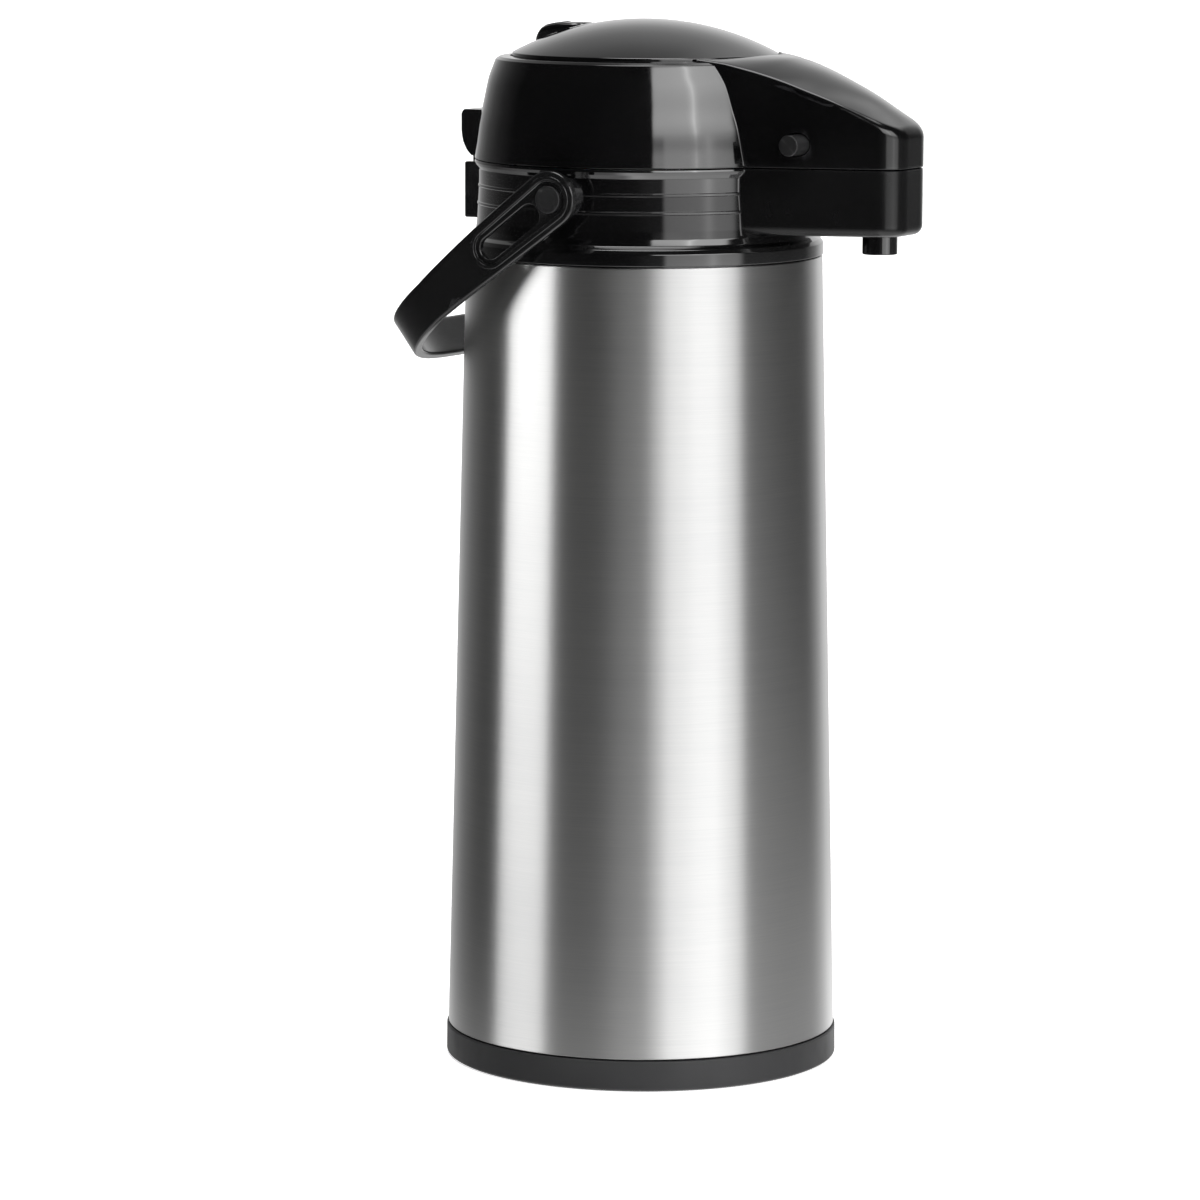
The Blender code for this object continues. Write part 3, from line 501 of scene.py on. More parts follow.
def make_mouth():
    plate = lathe("mouth_plate_form", rounded([
        (40.0, 289.6, 0.5), (40.0, 285.9, 0.4), (25.6, 285.9, 0.2), (25.6, 276.0, 0.5), (23.6, 276.0, 0.3),
        (23.6, 286.4, 0.6), (4.8, 286.4, 0.3), (4.8, 289.6, 0.4), (9.0, 289.6, 0.2), (9.4, 289.2, 0.2),
        (20.6, 289.2, 0.2), (21.0, 289.6, 0.2), (34.0, 289.6, 0.2), (34.4, 289.2, 0.2),
        (36.6, 289.2, 0.2), (37.0, 289.6, 0.2)], segments=3), 144)
    carve(plate, lathe("way", [(0.0, 280.0), (4.5, 280.0), (4.5, 288.9), (5.0, 289.6), (5.0, 295.0), (0.0, 295.0)],
                       48, AIR_TUBE))
    stand_in(plate, "mouth_plate", WHITE)
    turned("dip_tube", [
        (6.5, 290.9, 0.3), (6.5, 290.0, 0.3), (4.4, 290.0, 0.2), (4.4, 27.0, 0.3), (3.4, 27.0, 0.2),
        (3.4, 290.9, 0.3)], WHITE, 48, segments=3)
    bend, level = 4.3, 296.0
    rise = [(0.0, 291.2)] + arc((bend, level - bend), bend, 180.0, 90.0, 10)
    drop = arc((NOZZLE_X - bend, level - bend), bend, 90.0, 0.0, 10) + [(NOZZLE_X, 287.5)]
    path = [(x, 0.0, z) for x, z in rise + drop]
    pipe = swept("outlet_pipe_form", path, arc((0, 0), 4.2, 0.0, 360.0, 32)[:-1])
    bore_path = [(0.0, 0.0, 289.0)] + path + [(NOZZLE_X, 0.0, 285.0)]
    carve(pipe, swept("bore", bore_path, arc((0, 0), 3.0, 0.0, 360.0, 32)[:-1]))
    stand_in(pipe, "outlet_pipe", WHITE)
    turned("pour_nozzle", [
        (7.8, 292.9, 0.2), (7.8, 292.1, 0.2), (5.95, 292.1, 0.2), (5.95, 283.1, 0.35), (4.6, 283.1, 0.3),
        (4.6, 292.9, 0.2)], GLOSS, 96, NOZZLE)


# --- Nose shared by the collar's beak and the lid's spout ----------------------------------------

def nose_line(x):
    """Half-width of the nose's straight side at x."""
    return 27.5 - (x - 48.5) * math.tan(NOSE_TAPER)


CORNER_X = NOSE_FRONT - NOSE_CORNER
CORNER_Y = nose_line(CORNER_X) - NOSE_CORNER / math.cos(NOSE_TAPER)


def nose_depth(x, y):
    """How far a point of the plan lies inside the nose's outline."""
    y = abs(y)
    dx, dy = x - CORNER_X, y - CORNER_Y
    if dx > 0 and dy > 0 and math.atan2(dy, dx) < math.pi / 2 - NOSE_TAPER:
        return NOSE_CORNER - math.hypot(dx, dy)
    return min((nose_line(x) - y) * math.cos(NOSE_TAPER), NOSE_FRONT - x)


def edge_drop(depth, radius):
    """How far a rounded edge falls below the face at a distance in from the outline."""
    inward = min(max(radius - depth, 0.0), radius)
    return radius - math.sqrt(max(radius ** 2 - inward ** 2, 0.0))


def nose_shell(name, face, edge, root, foot, thickness, grow=0.0, blunt=1.0):
    """A nose-shaped cover: a face over the plan with a rounded edge, and walls from it to the foot.

    face(x, y) is the face's height, root(z) the radius at which the cover meets the round body, and
    foot the height where the walls end. The face may be above the foot or below it.
    """
    side = 1.0 if face(80.0, 0.0) > foot else -1.0

    def edge_at(x):
        """The edge's radius, which grows from the sides to the front."""
        return edge * lookup([(84.0, 1.0), (98.0, blunt)], x)

    tangent = CORNER_X + NOSE_CORNER * math.sin(NOSE_TAPER)
    corner = [CORNER_X + NOSE_CORNER * math.cos(math.radians(a)) for a in np.linspace(74.0, 0.0, 17)]
    shares = list(np.linspace(0.0, 1.0, 33))

    def half_at(x):
        if x <= tangent:
            return nose_line(x)
        return CORNER_Y + math.sqrt(max(NOSE_CORNER ** 2 - (x - CORNER_X) ** 2, 0.0))

    insets = [step / math.cos(NOSE_TAPER) for step in EDGE_STEPS]
    inner = 11

    def lateral(x):
        half = half_at(x)
        rows = [half - e * edge_at(x) for e in insets]
        rows += [rows[-1] * (1 - (k + 1) / inner) for k in range(inner)]
        return rows

    def height(x, y):
        return face(x, y) - side * edge_drop(nose_depth(x, y), edge_at(x))

    def root_x(row):
        """Where a lengthwise row leaves the round body."""
        def within(x):
            y = lateral(x)[row]
            return math.hypot(x, y) < root(height(x, y))

        return crossing(*ROOT_SEARCH, within)

    rows = len(insets) + inner
    grid = []
    for row in range(rows):
        start = root_x(row)
        xs = [start + (tangent - start) * s for s in shares] + corner[1:]
        grid.append([(x, lateral(x)[row]) for x in xs])
    verts = []
    index = {}

    def put(key, x, y, z):
        y += math.copysign(grow, y) if abs(y) > 3.0 else 0.0
        x += grow if x > CORNER_X else 0.0
        index[key] = len(verts)
        verts.append((x, y, z))

    columns = len(grid[0])
    for row in range(rows):
        for col, (x, y) in enumerate(grid[row]):
            put(("near", row, col), x, -y, height(x, y))
            if row < rows - 1:
                put(("far", row, col), x, y, height(x, y))
            else:
                index[("far", row, col)] = index[("near", row, col)]
    faces = []
    for row in range(rows - 1):
        for col in range(columns - 1):
            for edge_side in ("near", "far"):
                corners = [(row, col), (row, col + 1), (row + 1, col + 1), (row + 1, col)]
                faces.append(tuple(index[(edge_side, *c)] for c in corners))
    rim = [("near", 0, col) for col in range(columns)]
    rim += [("near", row, columns - 1) for row in range(1, rows)]
    rim += [("far", row, columns - 1) for row in range(rows - 2, -1, -1)]
    rim += [("far", 0, col) for col in range(columns - 2, -1, -1)]
    steps = [0.06, 0.25, 0.5, 0.75, 0.94]
    levels = len(steps) + 4
    foot_round = 0.4
    for number, key in enumerate(rim):
        x, y, z = verts[index[key]]
        share = shares[key[2]] if key[1] == 0 and key[2] < len(shares) else 1.0
        end = foot + side * foot_round
        heights = [z + (end - z) * s for s in steps]
        insets_down = [0.0] * len(steps)
        for a in (22.0, 45.0, 67.0, 90.0):
            heights.append(end - side * foot_round * math.sin(math.radians(a)))
            insets_down.append(foot_round * (1 - math.cos(math.radians(a))))
        for level, (h, inset) in enumerate(zip(heights, insets_down)):
            px, py = x, y
            if share < 1.0:
                begin = wall_root(root, h)
                px = begin + (tangent - begin) * share
                py = math.copysign(nose_line(px) + grow, y)
            if key[1] == 0 and key[2] <= len(shares):
                py -= math.copysign(inset, y)
            elif abs(x - NOSE_FRONT) < 0.6 or key[1] > 0:
                px -= inset
            else:
                out = Vector((x - CORNER_X, abs(y) - CORNER_Y)).normalized()
                px -= out.x * inset
                py -= math.copysign(out.y * inset, y)
            index[("wall", number, level)] = len(verts)
            verts.append((px, py, h))
    for number in range(len(rim) - 1):
        above = (index[rim[number]], index[rim[number + 1]])
        for level in range(levels):
            below = (index[("wall", number, level)], index[("wall", number + 1, level)])
            faces.append((above[0], above[1], below[1], below[0]))
            above = below
    shell = raw(name, verts, faces)
    bm = bmesh.new()
    bm.from_mesh(shell.data)
    top = max(bm.faces, key=lambda f: side * f.calc_center_median().z)
    if top.normal.z * side < 0:
        bmesh.ops.reverse_faces(bm, faces=bm.faces)
    bm.to_mesh(shell.data)
    bm.free()
    solid = shell.modifiers.new("wall", "SOLIDIFY")
    solid.thickness = thickness * MM
    solid.offset = -1.0
    return baked(shell)


def wall_root(root, z):
    """Where the nose's straight side leaves the round body at a height."""
    return crossing(*ROOT_SEARCH, lambda x: math.hypot(x, nose_line(x)) < root(z))


# --- Collar --------------------------------------------------------------------------------------

def bead(radius, height):
    """A fine raised line round the collar's neck."""
    return [(radius, height + 0.62, 0.12), (radius + 0.32, height + 0.34, 0.16),
            (radius + 0.32, height - 0.34, 0.16), (radius + 0.05, height - 0.62, 0.12)]


def root_fillet(name, root, low, high, radius):
    """The small hollow fillet that runs up each side where the nose leaves the round body."""
    lean = Vector((math.cos(NOSE_TAPER), math.sin(NOSE_TAPER)))
    levels = 36
    parts = []
    for side in (-1.0, 1.0):
        loops = []
        for i in range(levels + 1):
            z = low + (high - low) * i / levels
            x = wall_root(root, z)
            foot = Vector((x, -nose_line(x)))
            out = foot.normalized()
            back = Vector((out.y, -out.x))
            middle = (back + lean).normalized()
            half = (math.pi - back.angle(lean)) / 2
            reach = radius * math.tan(half)
            centre = foot + middle * radius / math.cos(half)
            section = swing(centre, foot + back * reach - centre, foot + lean * reach - centre, 8)
            section.append(foot - middle * 0.35)
            loops.append([(q.x, -side * q.y, z) for q in section])
        parts.append(skin(name, loops))
    return gathered(*parts)


def make_collar():
    outside = [(58.2, SEAM, 0.25), (58.4, 311.2, 0.35), (57.9, 310.2, 0.5), (57.0, 308.9, 0.6)]
    outside += bead(57.0, 303.5) + bead(57.3, 297.4)
    outside += [(57.6, 291.4, 2.0), (57.9, 288.6, 1.6), (58.8, 286.5, 1.2), (60.6, 285.4, 0.9),
                (61.55, 284.0, 0.7), (61.6, 280.0, 0.3)]
    spigot = [(60.0, 280.0, 0.2), (60.0, 268.5, 0.3), (58.2, 268.5, 0.3), (58.2, 280.8, 0.5),
              (56.5, 282.5, 0.5)]
    inside = [(34.0, 282.5, 0.3), (34.0, 285.6, 0.5), (52.5, 285.6, 0.6), (53.2, 287.0, 0.4),
              (53.2, 307.0, 0.5), (55.4, 309.6, 0.5), (55.6, SEAM, 0.2)]
    collar = lathe("collar_form", rounded(outside + spigot + inside, segments=3), 240)
    carve(collar, block("slot", (50.0, -6.0, 290.4), (60.0, 6.0, 303.0)))
    stand_in(collar, "collar", GLOSS)
    beak = nose_shell("collar_beak_form", lambda x, y: 289.6, 3.4, lambda z: 56.2, SEAM, 2.2)
    carve(beak, rod("hole", 6.3, (NOZZLE_X, 0, 280), (NOZZLE_X, 0, 300), 72))
    ribs = [soften(block("rib", (66.0, y, 307.0), (70.0, y + 2.2, 309.0)), 0.3) for y in (-20.5, 18.3)]
    gathered(beak, *ribs)
    stand_in(beak, "collar", DULL)
    root = [(286.0, 60.0), (288.6, 57.9), (291.4, 57.6), (297.4, 57.3), (303.5, 57.0), (308.9, 57.0),
            (310.2, 57.9), (311.2, 58.4), (312.0, 58.2)]
    stand_in(root_fillet("collar_root_fillets", lambda z: lookup(root, z), 289.5, 311.6, 1.2), "collar", GLOSS)


def make_back_hinge():
    bracket = block("hinge_bracket_form", (-66.5, -8.5, 290.0), (-50.0, 8.5, 309.4))
    seat = rod("seat", 57.2, (0, 0, 285), (0, 0, 315), 240)
    slot = block("slot", (-70.0, -5.3, 298.5), (-50.0, 5.3, 312.0))
    pocket = block("pocket", (-70.0, -5.3, 288.0), (-61.0, 5.3, 300.0))
    pin_way = rod("pin_way", 1.8, (HINGE_X, -7.9, HINGE_Z), (HINGE_X, 7.9, HINGE_Z))
    carve(bracket, seat, slot, pocket, pin_way)
    stand_in(soften(bracket, 0.55), "hinge_bracket", GLOSS)
    turned("hinge_pin", [(0.0, -7.7), (1.5, -7.7, 0.3), (1.5, 7.7, 0.3), (0.0, 7.7)], BRIGHT,
           48, (HINGE_X, 0.0, HINGE_Z), "Y", closed=False)
    for side, y in (("left", 2.7), ("right", -2.7)):
        machine_screw(f"bracket_screw_{side}", (-61.3, y, 293.5), "X", 1.0, 2.1, 7.5)
        refinish(f"hinge_arm_screw_{side}", BRIGHT)


def machine_screw(node, seat, axis, sign, radius, length):
    """A pan-head screw with a cross recess; sign is the way from the head into the work."""
    tall = radius * 0.7
    profile = [(0.0, -tall), (radius * 0.45, -tall, 0.3), (radius, -tall * 0.3, 0.4), (radius, 0.0, 0.15),
               (1.2, 0.0, 0.1), (1.2, length, 0.3), (0.0, length)]
    body = lathe(node + "_form", rounded(profile, closed=False), 40, seat, axis, sign)
    long, thin, deep = radius * 0.55, radius * 0.12, tall * 0.55
    main = "XYZ".index(axis)
    low, high = sorted((seat[main] - sign * tall * 1.2, seat[main] - sign * (tall - deep)))
    for a, b in ((long, thin), (thin, long)):
        if axis == "X":
            tool = block("cross", (low, seat[1] - a, seat[2] - b), (high, seat[1] + a, seat[2] + b))
        else:
            tool = block("cross", (seat[0] - a, seat[1] - b, low), (seat[0] + a, seat[1] + b, high))
        carve(body, tool)
    stand_in(body, node, BRIGHT)


# --- Bail ----------------------------------------------------------------------------------------

def bail_plan():
    """Centre line of the bail in plan, from the near arm's tip to the far one's, with its normals."""
    tip = [BAIL_HEAD * math.sin(math.radians(a)) for a in (88, 80, 70, 60, 50, 40, 30, 20, 10)]
    line = [Vector((x, -BAIL_HALF_SPAN)) for x in tip]
    count = 150
    power = 2.0 / BAIL_SQUARENESS
    for i in range(count + 1):
        share = i / count
        angle = math.pi * (share - 0.34 * math.sin(math.tau * 2 * share) / (math.tau * 2) * 1.6)
        reach = BAIL_REACH * max(math.sin(angle), 0.0) ** power
        cosine = math.cos(angle)
        line.append(Vector((-reach, -BAIL_HALF_SPAN * math.copysign(abs(cosine) ** power, cosine))))
    line += [Vector((x, BAIL_HALF_SPAN)) for x in reversed(tip)]
    even = [line[0]]
    for point in line[1:]:
        if (point - even[-1]).length > 0.15:
            even.append(point)
    normals = []
    for i, point in enumerate(even):
        along = (even[min(i + 1, len(even) - 1)] - even[max(i - 1, 0)]).normalized()
        if abs(point.y) >= BAIL_HALF_SPAN - 0.001:
            along = Vector((-1.0 if point.y < 0 else 1.0, 0.0))
        normals.append(Vector((along.y, -along.x)) * -1.0)
    return even, normals


def bail_half(reach):
    """Half the bail's width at a distance from the pivot, towards the far end."""
    if reach < 0.0:
        return math.sqrt(max(BAIL_HEAD ** 2 - reach ** 2, 0.04))
    return lookup([(0.0, 9.6), (10.0, 9.4), (30.0, 8.8), (60.0, 7.3), (200.0, 7.3)], reach)


def stadium(first, last, radius_first, radius_last, count=24):
    """A long round-ended outline in the arm's side view, from the pivot end to the far end."""
    return (arc((-first, 0.0), radius_first, -90.0, 90.0, count)
            + arc((-last, 0.0), radius_last, 90.0, 270.0, count))


def flared(name, outline_at, levels, side):
    """A cutter through the arm whose outline changes with its distance from the bail's middle."""
    return skin(name, [[(x, side * depth, z) for x, z in outline_at(offset)] for offset, depth in levels])


def make_bail():
    line, normals = bail_plan()
    half_thick = BAIL_THICKNESS / 2
    loops = []
    for point, normal in zip(line, normals):
        reach = -point.x
        half = bail_half(reach)
        edge = min(BAIL_EDGE, half * 0.9)
        rounding = [half - step * edge for step in EDGE_STEPS]
        rows = rounding + [rounding[-1] * (1 - (k + 1) / 6) for k in range(11)] + [-w for w in reversed(rounding)]
        loop = []
        for w in rows:
            depth = half - abs(w) if reach >= 0.0 else BAIL_HEAD - math.hypot(reach, w)
            loop.append((w, half_thick - edge_drop(max(depth, 0.0), BAIL_EDGE)))
        loop += [(w, -t) for w, t in reversed(loop)]
        loops.append([(point.x + normal.x * t, point.y + normal.y * t, w) for w, t in loop])
    bail = skin("carry_handle_form", loops)
    outer = BAIL_HALF_SPAN + half_thick
    parts = []
    for side in (-1.0, 1.0):
        pocket = [(0.7, outer + 1.0), (0.5, outer + 0.02), (0.2, outer - 0.12), (0.0, outer - 0.4),
                  (0.0, outer - 0.95)]
        carve(bail, flared("pocket", lambda o: stadium(0.0, 28.3, 5.9 + o, 5.25 + o), pocket, side))
        through = [(0.4, outer - 0.5), (0.4, outer - 0.96), (0.15, outer - 1.1), (0.0, outer - 1.35),
                   (0.0, outer - 3.1), (0.15, outer - 3.4), (0.5, outer - 3.52), (0.5, outer - 5.0)]
        carve(bail, flared("slot", lambda o: stadium(9.6, 28.3, 3.85 + o, 3.85 + o), through, side))
        carve(bail, rod("pivot_way", 4.3, (0, side * 60.0, 0), (0, side * 72.0, 0)))
        section = rounded([(-0.65, -0.8), (0.65, -0.8), (0.65, 0.38, 0.36), (-0.65, 0.38, 0.36)], segments=4)
        ring = [(x, side * outer, z) for x, z in stadium(0.0, 28.3, 7.15, 6.4, 40)]
        parts.append(swept_flat("ring", ring, section, side))
    gathered(bail, *parts)
    turn = Matrix.Translation((0, 0, PIVOT_Z * MM)) @ Matrix.Rotation(-BAIL_DROOP, 4, "Y")
    stand_in(moved(bail, turn), "carry_handle", SATIN, 34.0)


def swept_flat(name, path, section, side):
    """A closed bead lying in the arm's face; the section is (across, out of the face)."""
    out = Vector((0.0, side, 0.0))
    loops = []
    for i, here in enumerate(path):
        along = (Vector(path[(i + 1) % len(path)]) - Vector(path[i - 1])).normalized()
        across = along.cross(out).normalized()
        loops.append([Vector(here) + across * a + out * b for a, b in section])
    return skin(name, loops, closed=True)


def make_pivots():
    centre = (0.0, 0.0, PIVOT_Z)
    for side, sign in SIDES:
        stud = lathe(f"pivot_stud_{side}_form", rounded([
            (1.9, 60.0), (1.9, 67.5, 0.2), (4.0, 67.5, 0.4), (4.0, 64.9, 0.2), (7.0, 64.9, 0.6),
            (7.0, 53.6), (2.0, 53.6), (2.0, 60.0)]), 96, centre, "Y", sign)
        carve(stud, rod("seat", 56.6, (0, 0, 285), (0, 0, 320), 200))
        stand_in(stud, f"pivot_stud_{side}", GLOSS)
        turned(f"pivot_cap_{side}", [
            (0.0, 69.0), (3.2, 69.05, 0.8), (4.0, 69.2, 0.25), (4.6, 69.2, 0.3), (4.6, 67.9, 0.2),
            (1.6, 67.9, 0.1), (1.6, 61.0, 0.3), (0.0, 61.0)], SOFT_BLACK, 96, centre, "Y", sign, closed=False)


# --- Lid -----------------------------------------------------------------------------------------

CASE_WALL = smooth_line([(51.6, 345.4), (53.7, 339.5), (55.4, 331.3), (56.7, 325.0), (57.6, 318.0),
                         (58.3, 312.75)], 6)
CROWN = smooth_line([(36.0, 348.9), (44.0, 348.8), (50.0, 348.6), (55.0, 348.1), (59.0, 347.0), (66.0, 344.7),
                     (72.0, 342.3), (78.0, 339.7), (84.0, 336.8), (88.0, 334.6), (92.0, 332.1), (95.3, 329.9),
                     (98.0, 328.0), (100.2, 326.4), (102.2, 324.8)], 6)
RIDGE = smooth_line([(36.0, 348.4), (44.0, 347.2), (48.0, 346.2), (56.0, 343.9), (64.0, 341.2), (72.0, 338.0),
                     (80.0, 334.8), (88.0, 331.0), (92.0, 329.1), (95.3, 327.4), (98.5, 325.9), (102.2, 324.2)], 6)


def case_radius(z):
    """The case's outer radius at a height, up to its lip."""
    return lookup([(312.0, 58.3)] + [(h, r) for r, h in reversed(CASE_WALL)] + [(346.6, 49.3), (347.6, 47.6)], z)


def spout_face(x, y):
    crown = lookup(CROWN, x)
    ridge = lookup(RIDGE, x)
    half = nose_line(x) if x < CORNER_X else nose_line(CORNER_X)
    return crown - (crown - ridge) * (abs(y) / half) ** 2.0


def make_lid():
    seam = SEAM + 0.4
    profile = [(46.6, 347.45, 0.2), (49.9, 347.15, 0.45), (51.2, 346.3, 0.45)] + CASE_WALL
    profile += [(58.35, seam, 0.3), (56.0, seam, 0.3), (55.2, 320.0), (53.0, 331.0), (51.0, 339.0), (49.4, 344.2),
                (46.3, 345.9, 0.3), (46.3, 347.45, 0.25)]
    case = lathe("lid_case_form", rounded(profile), 288)
    carve(case, block("window", (48.0, -15.0, 300.0), (60.0, 15.0, 330.0)))
    stand_in(case, "lid_case", GLOSS, 40.0)
    cover = nose_shell("spout_cover_form", spout_face, 1.1, lambda z: case_radius(z) - 0.7, seam, 1.05, 0.12, 2.3)
    carve(cover, lathe("ways", rounded([
        (0.0, -40.0), (4.6, -40.0), (4.6, -22.6, 0.2), (3.9, -21.4, 0.4), (3.9, 21.4, 0.4), (4.6, 22.6, 0.2),
        (4.6, 40.0), (0.0, 40.0)], False), 72, BUTTON, "Y"))
    rib = soften(block("rib", (66.0, -1.2, 315.0), (72.0, 1.2, 342.0)), 0.3)
    stand_in(gathered(cover, rib), "lid_case", SEMI, 40.0)
    stand_in(root_fillet("lid_case_root_fillets", case_radius, 313.0, 344.9, 1.2), "lid_case", GLOSS)
    profile = rounded([(2.9, 331.0), (2.9, 308.6, 0.4), (1.5, 308.6, 0.2), (1.5, 331.0)])
    posts = [lathe("post", profile, 32, (x, y, 0.0)) for x, y in around(51.2)]
    stand_in(gathered(*posts), "lid_case", GLOSS)
    posts[0].name = "lid_case_posts_form"


def around(radius):
    """Four places round the head, for the lid floor's ears, its screws and the posts that take them."""
    return [(radius * math.cos(math.radians(a)), radius * math.sin(math.radians(a))) for a in EAR_ANGLES]


def make_lid_floor():
    floor = lathe("lid_floor_form", rounded([
        (0.0, 308.1), (50.5, 308.1, 0.4), (50.5, 305.5, 0.5), (46.0, 305.5, 0.2), (45.6, 306.0, 0.2),
        (43.4, 306.0, 0.2), (43.0, 305.5, 0.2), (0.0, 305.5)], False), 160)
    ears = [rod("ear", 3.2, (x, y, 305.5), (x, y, 308.1), 32) for x, y in around(49.7)]
    tube = lathe("air", rounded([(0.0, 291.8), (6.5, 291.8, 0.4), (6.5, 306.5), (0.0, 306.5)], False), 64,
                 AIR_TUBE)
    unite(floor, *ears, tube)
    holes = [rod("hole", 1.6, (x, y, 300), (x, y, 312), 24) for x, y in around(50.4)]
    carve(floor, rod("air_way", 4.5, (AIR_TUBE[0], 0, 285), (AIR_TUBE[0], 0, 320), 64), *holes)
    ribs = []
    for a in range(0, 360, 45):
        rib = soften(block("rib", (9.5, -0.6, 304.3), (42.0, 0.6, 306.0)), 0.25)
        ribs.append(moved(rib, Matrix.Rotation(math.radians(a + 22.5), 4, "Z")))
    stand_in(gathered(floor, *ribs), "lid_floor", WHITE)
    for number, (x, y) in enumerate(around(50.4), 1):
        machine_screw(f"lid_floor_screw_{number}", (x, y, 305.2), "Z", 1.0, 2.0, 14.0)
    turned("air_seal", [(7.5, 291.5, 0.3), (7.5, 289.9, 0.7), (4.6, 289.9, 0.4), (4.6, 291.5, 0.2)],
           SILICONE, 64, AIR_TUBE)
    turned("air_outlet_flap", [(0.0, 309.0), (6.0, 309.0, 0.25), (6.0, 308.4, 0.25), (0.0, 308.4)],
           SILICONE, 48, AIR_TUBE, closed=False)


def ball_cap(ball, radius, count):
    """The profile of a dome of one ball radius, from the axis out to a radius."""
    return [(radius * i / count, DOME_CENTRE + math.sqrt(ball ** 2 - (radius * i / count) ** 2))
            for i in range(count + 1)]


def make_pump():
    outside = ball_cap(DOME_BALL, 45.6, 28)
    outside[-1] = (*outside[-1], 0.5)
    skirt = [(45.6, 345.7, 0.2), (47.2, 345.3, 0.2), (47.2, 343.2, 0.3), (43.2, 343.2, 0.3)]
    profile = outside + skirt + ball_cap(93.6, 43.2, 12)[::-1]
    dome = lathe("pump_dome_form", rounded(profile, closed=False), 192)
    carve(dome, block("slot", (-38.6, -3.0, 344.0), (-26.6, 3.0, 360.0)))
    stand_in(dome, "pump_dome", GLOSS)
    refinish("pump_plunger", WHITE)
    refinish("air_inlet_flap", SILICONE)


def capsule_depth(x, y):
    """How far a point lies inside the lock's outline, a round-ended taper along X."""
    x, y = -(x + 24.4), abs(y)
    small, large, length = 4.2, 6.6, 11.0
    lean = (small - large) / length
    along = math.sqrt(1.0 - lean * lean)
    if x * along + y * lean < 0.0:
        return small - math.hypot(x, y)
    if x * along - y * lean > along * length:
        return large - math.hypot(x - length, y)
    return small - (x * lean + y * along)


HUMP = smooth_line([(-45.0, 347.5), (-43.1, 350.5), (-41.0, 353.4), (-38.6, 356.1), (-36.4, 357.3),
                    (-33.0, 358.0), (-29.6, 358.25), (-24.0, 358.3), (-18.0, 358.2)], 6)


def make_lock():
    """The slider that locks the dome: a low hump with a round thumb dish, running on the dome's curve."""
    centre = Vector((-34.6, 0.0))
    rounds, fillet = 96, 1.5
    dish, dish_depth = 4.1, 0.95
    ring, ring_width, ring_height = 4.5, 0.34, 0.28
    near = [5.2, 4.95, 4.75, 4.55, 4.35, 4.15, 3.95, 3.5, 2.8, 1.9, 1.0]
    beyond = [1.0, 0.985, 0.95, 0.89, 0.8, 0.68, 0.52, 0.34, 0.16]

    def top(x, y):
        reach = math.hypot(x - centre.x, y)
        level = lookup(HUMP, x) - 0.016 * y * y
        if reach < dish:
            level -= dish_depth * (1.0 - (reach / dish) ** 2) ** 0.7
        level += ring_height * math.exp(-((reach - ring) / ring_width) ** 2)
        return level - edge_drop(max(capsule_depth(x, y), 0.0), fillet)

    def bed(x, y):
        return DOME_CENTRE + math.sqrt((DOME_BALL + 0.3) ** 2 - x * x - y * y)

    loops = []
    for i in range(rounds):
        a = math.tau * i / rounds
        way = Vector((math.cos(a), math.sin(a)))
        rim = crossing(0.0, 20.0, lambda r: capsule_depth(*(centre + way * r)) > 0)
        points = [centre + way * (near[0] + (rim - near[0]) * s) for s in beyond]
        points += [centre + way * r for r in near] + [centre]
        under = [(x, y, bed(x, y)) for x, y in reversed(points)]
        loops.append(under + [(x, y, max(top(x, y), bed(x, y) + 0.02)) for x, y in points])
    lock = skin("dome_lock_form", loops, closed=True, ring=False)
    stem = block("stem", (-33.0, -2.6, 348.4), (-27.0, 2.6, 355.0))
    foot = soften(block("foot", (-37.0, -5.5, 347.4), (-23.0, 5.5, 349.2)), 0.3)
    stand_in(gathered(lock, stem, foot), "dome_lock", GLOSS)


def make_arm():
    side = rounded([(-50.0, 327.5), (-67.0, 327.5, 0.9), (-67.9, 326.0, 0.9), (-67.9, 319.8, 3.0),
                    (-67.3, 316.4, 3.0), (-65.8, 313.4, 3.0), (-64.0, 311.5, 1.0), (-50.0, 311.5)], segments=5)
    arm = prism("lid_hinge_arm_form", side, -8.5, 8.5, "XZ")
    carve(arm, lathe("seat", [(0.0, 308.0), (57.9, 308.0), (58.3, 313.0), (57.6, 318.0), (56.6, 325.0),
                              (55.9, 330.0), (0.0, 330.0)], 288))
    soften(arm, 0.5)
    tongue = block("tongue", (-65.0, -5.0, HINGE_Z), (-59.3, 5.0, 313.0))
    unite(tongue, rod("knuckle", 3.4, (HINGE_X, -5.0, HINGE_Z), (HINGE_X, 5.0, HINGE_Z), 48))
    carve(tongue, rod("pin_way", 1.8, (HINGE_X, -12, HINGE_Z), (HINGE_X, 12, HINGE_Z)))
    soften(tongue, 0.3)
    stand_in(gathered(arm, tongue), "lid_hinge_arm", GLOSS)


def coil(node, turns, per_turn, wire, sides, place):
    """A round-wire spring; place(angle, share) is its centre line as the share runs from 0 to 1."""
    count = turns * per_turn
    points = [place(math.tau * turns * (i / count), i / count) for i in range(int(count) + 1)]
    spring = swept(node + "_form", points, arc((0, 0), wire, 0, 360, sides)[:-1])
    return stand_in(spring, node, BRIGHT, 60.0, weighted=False)


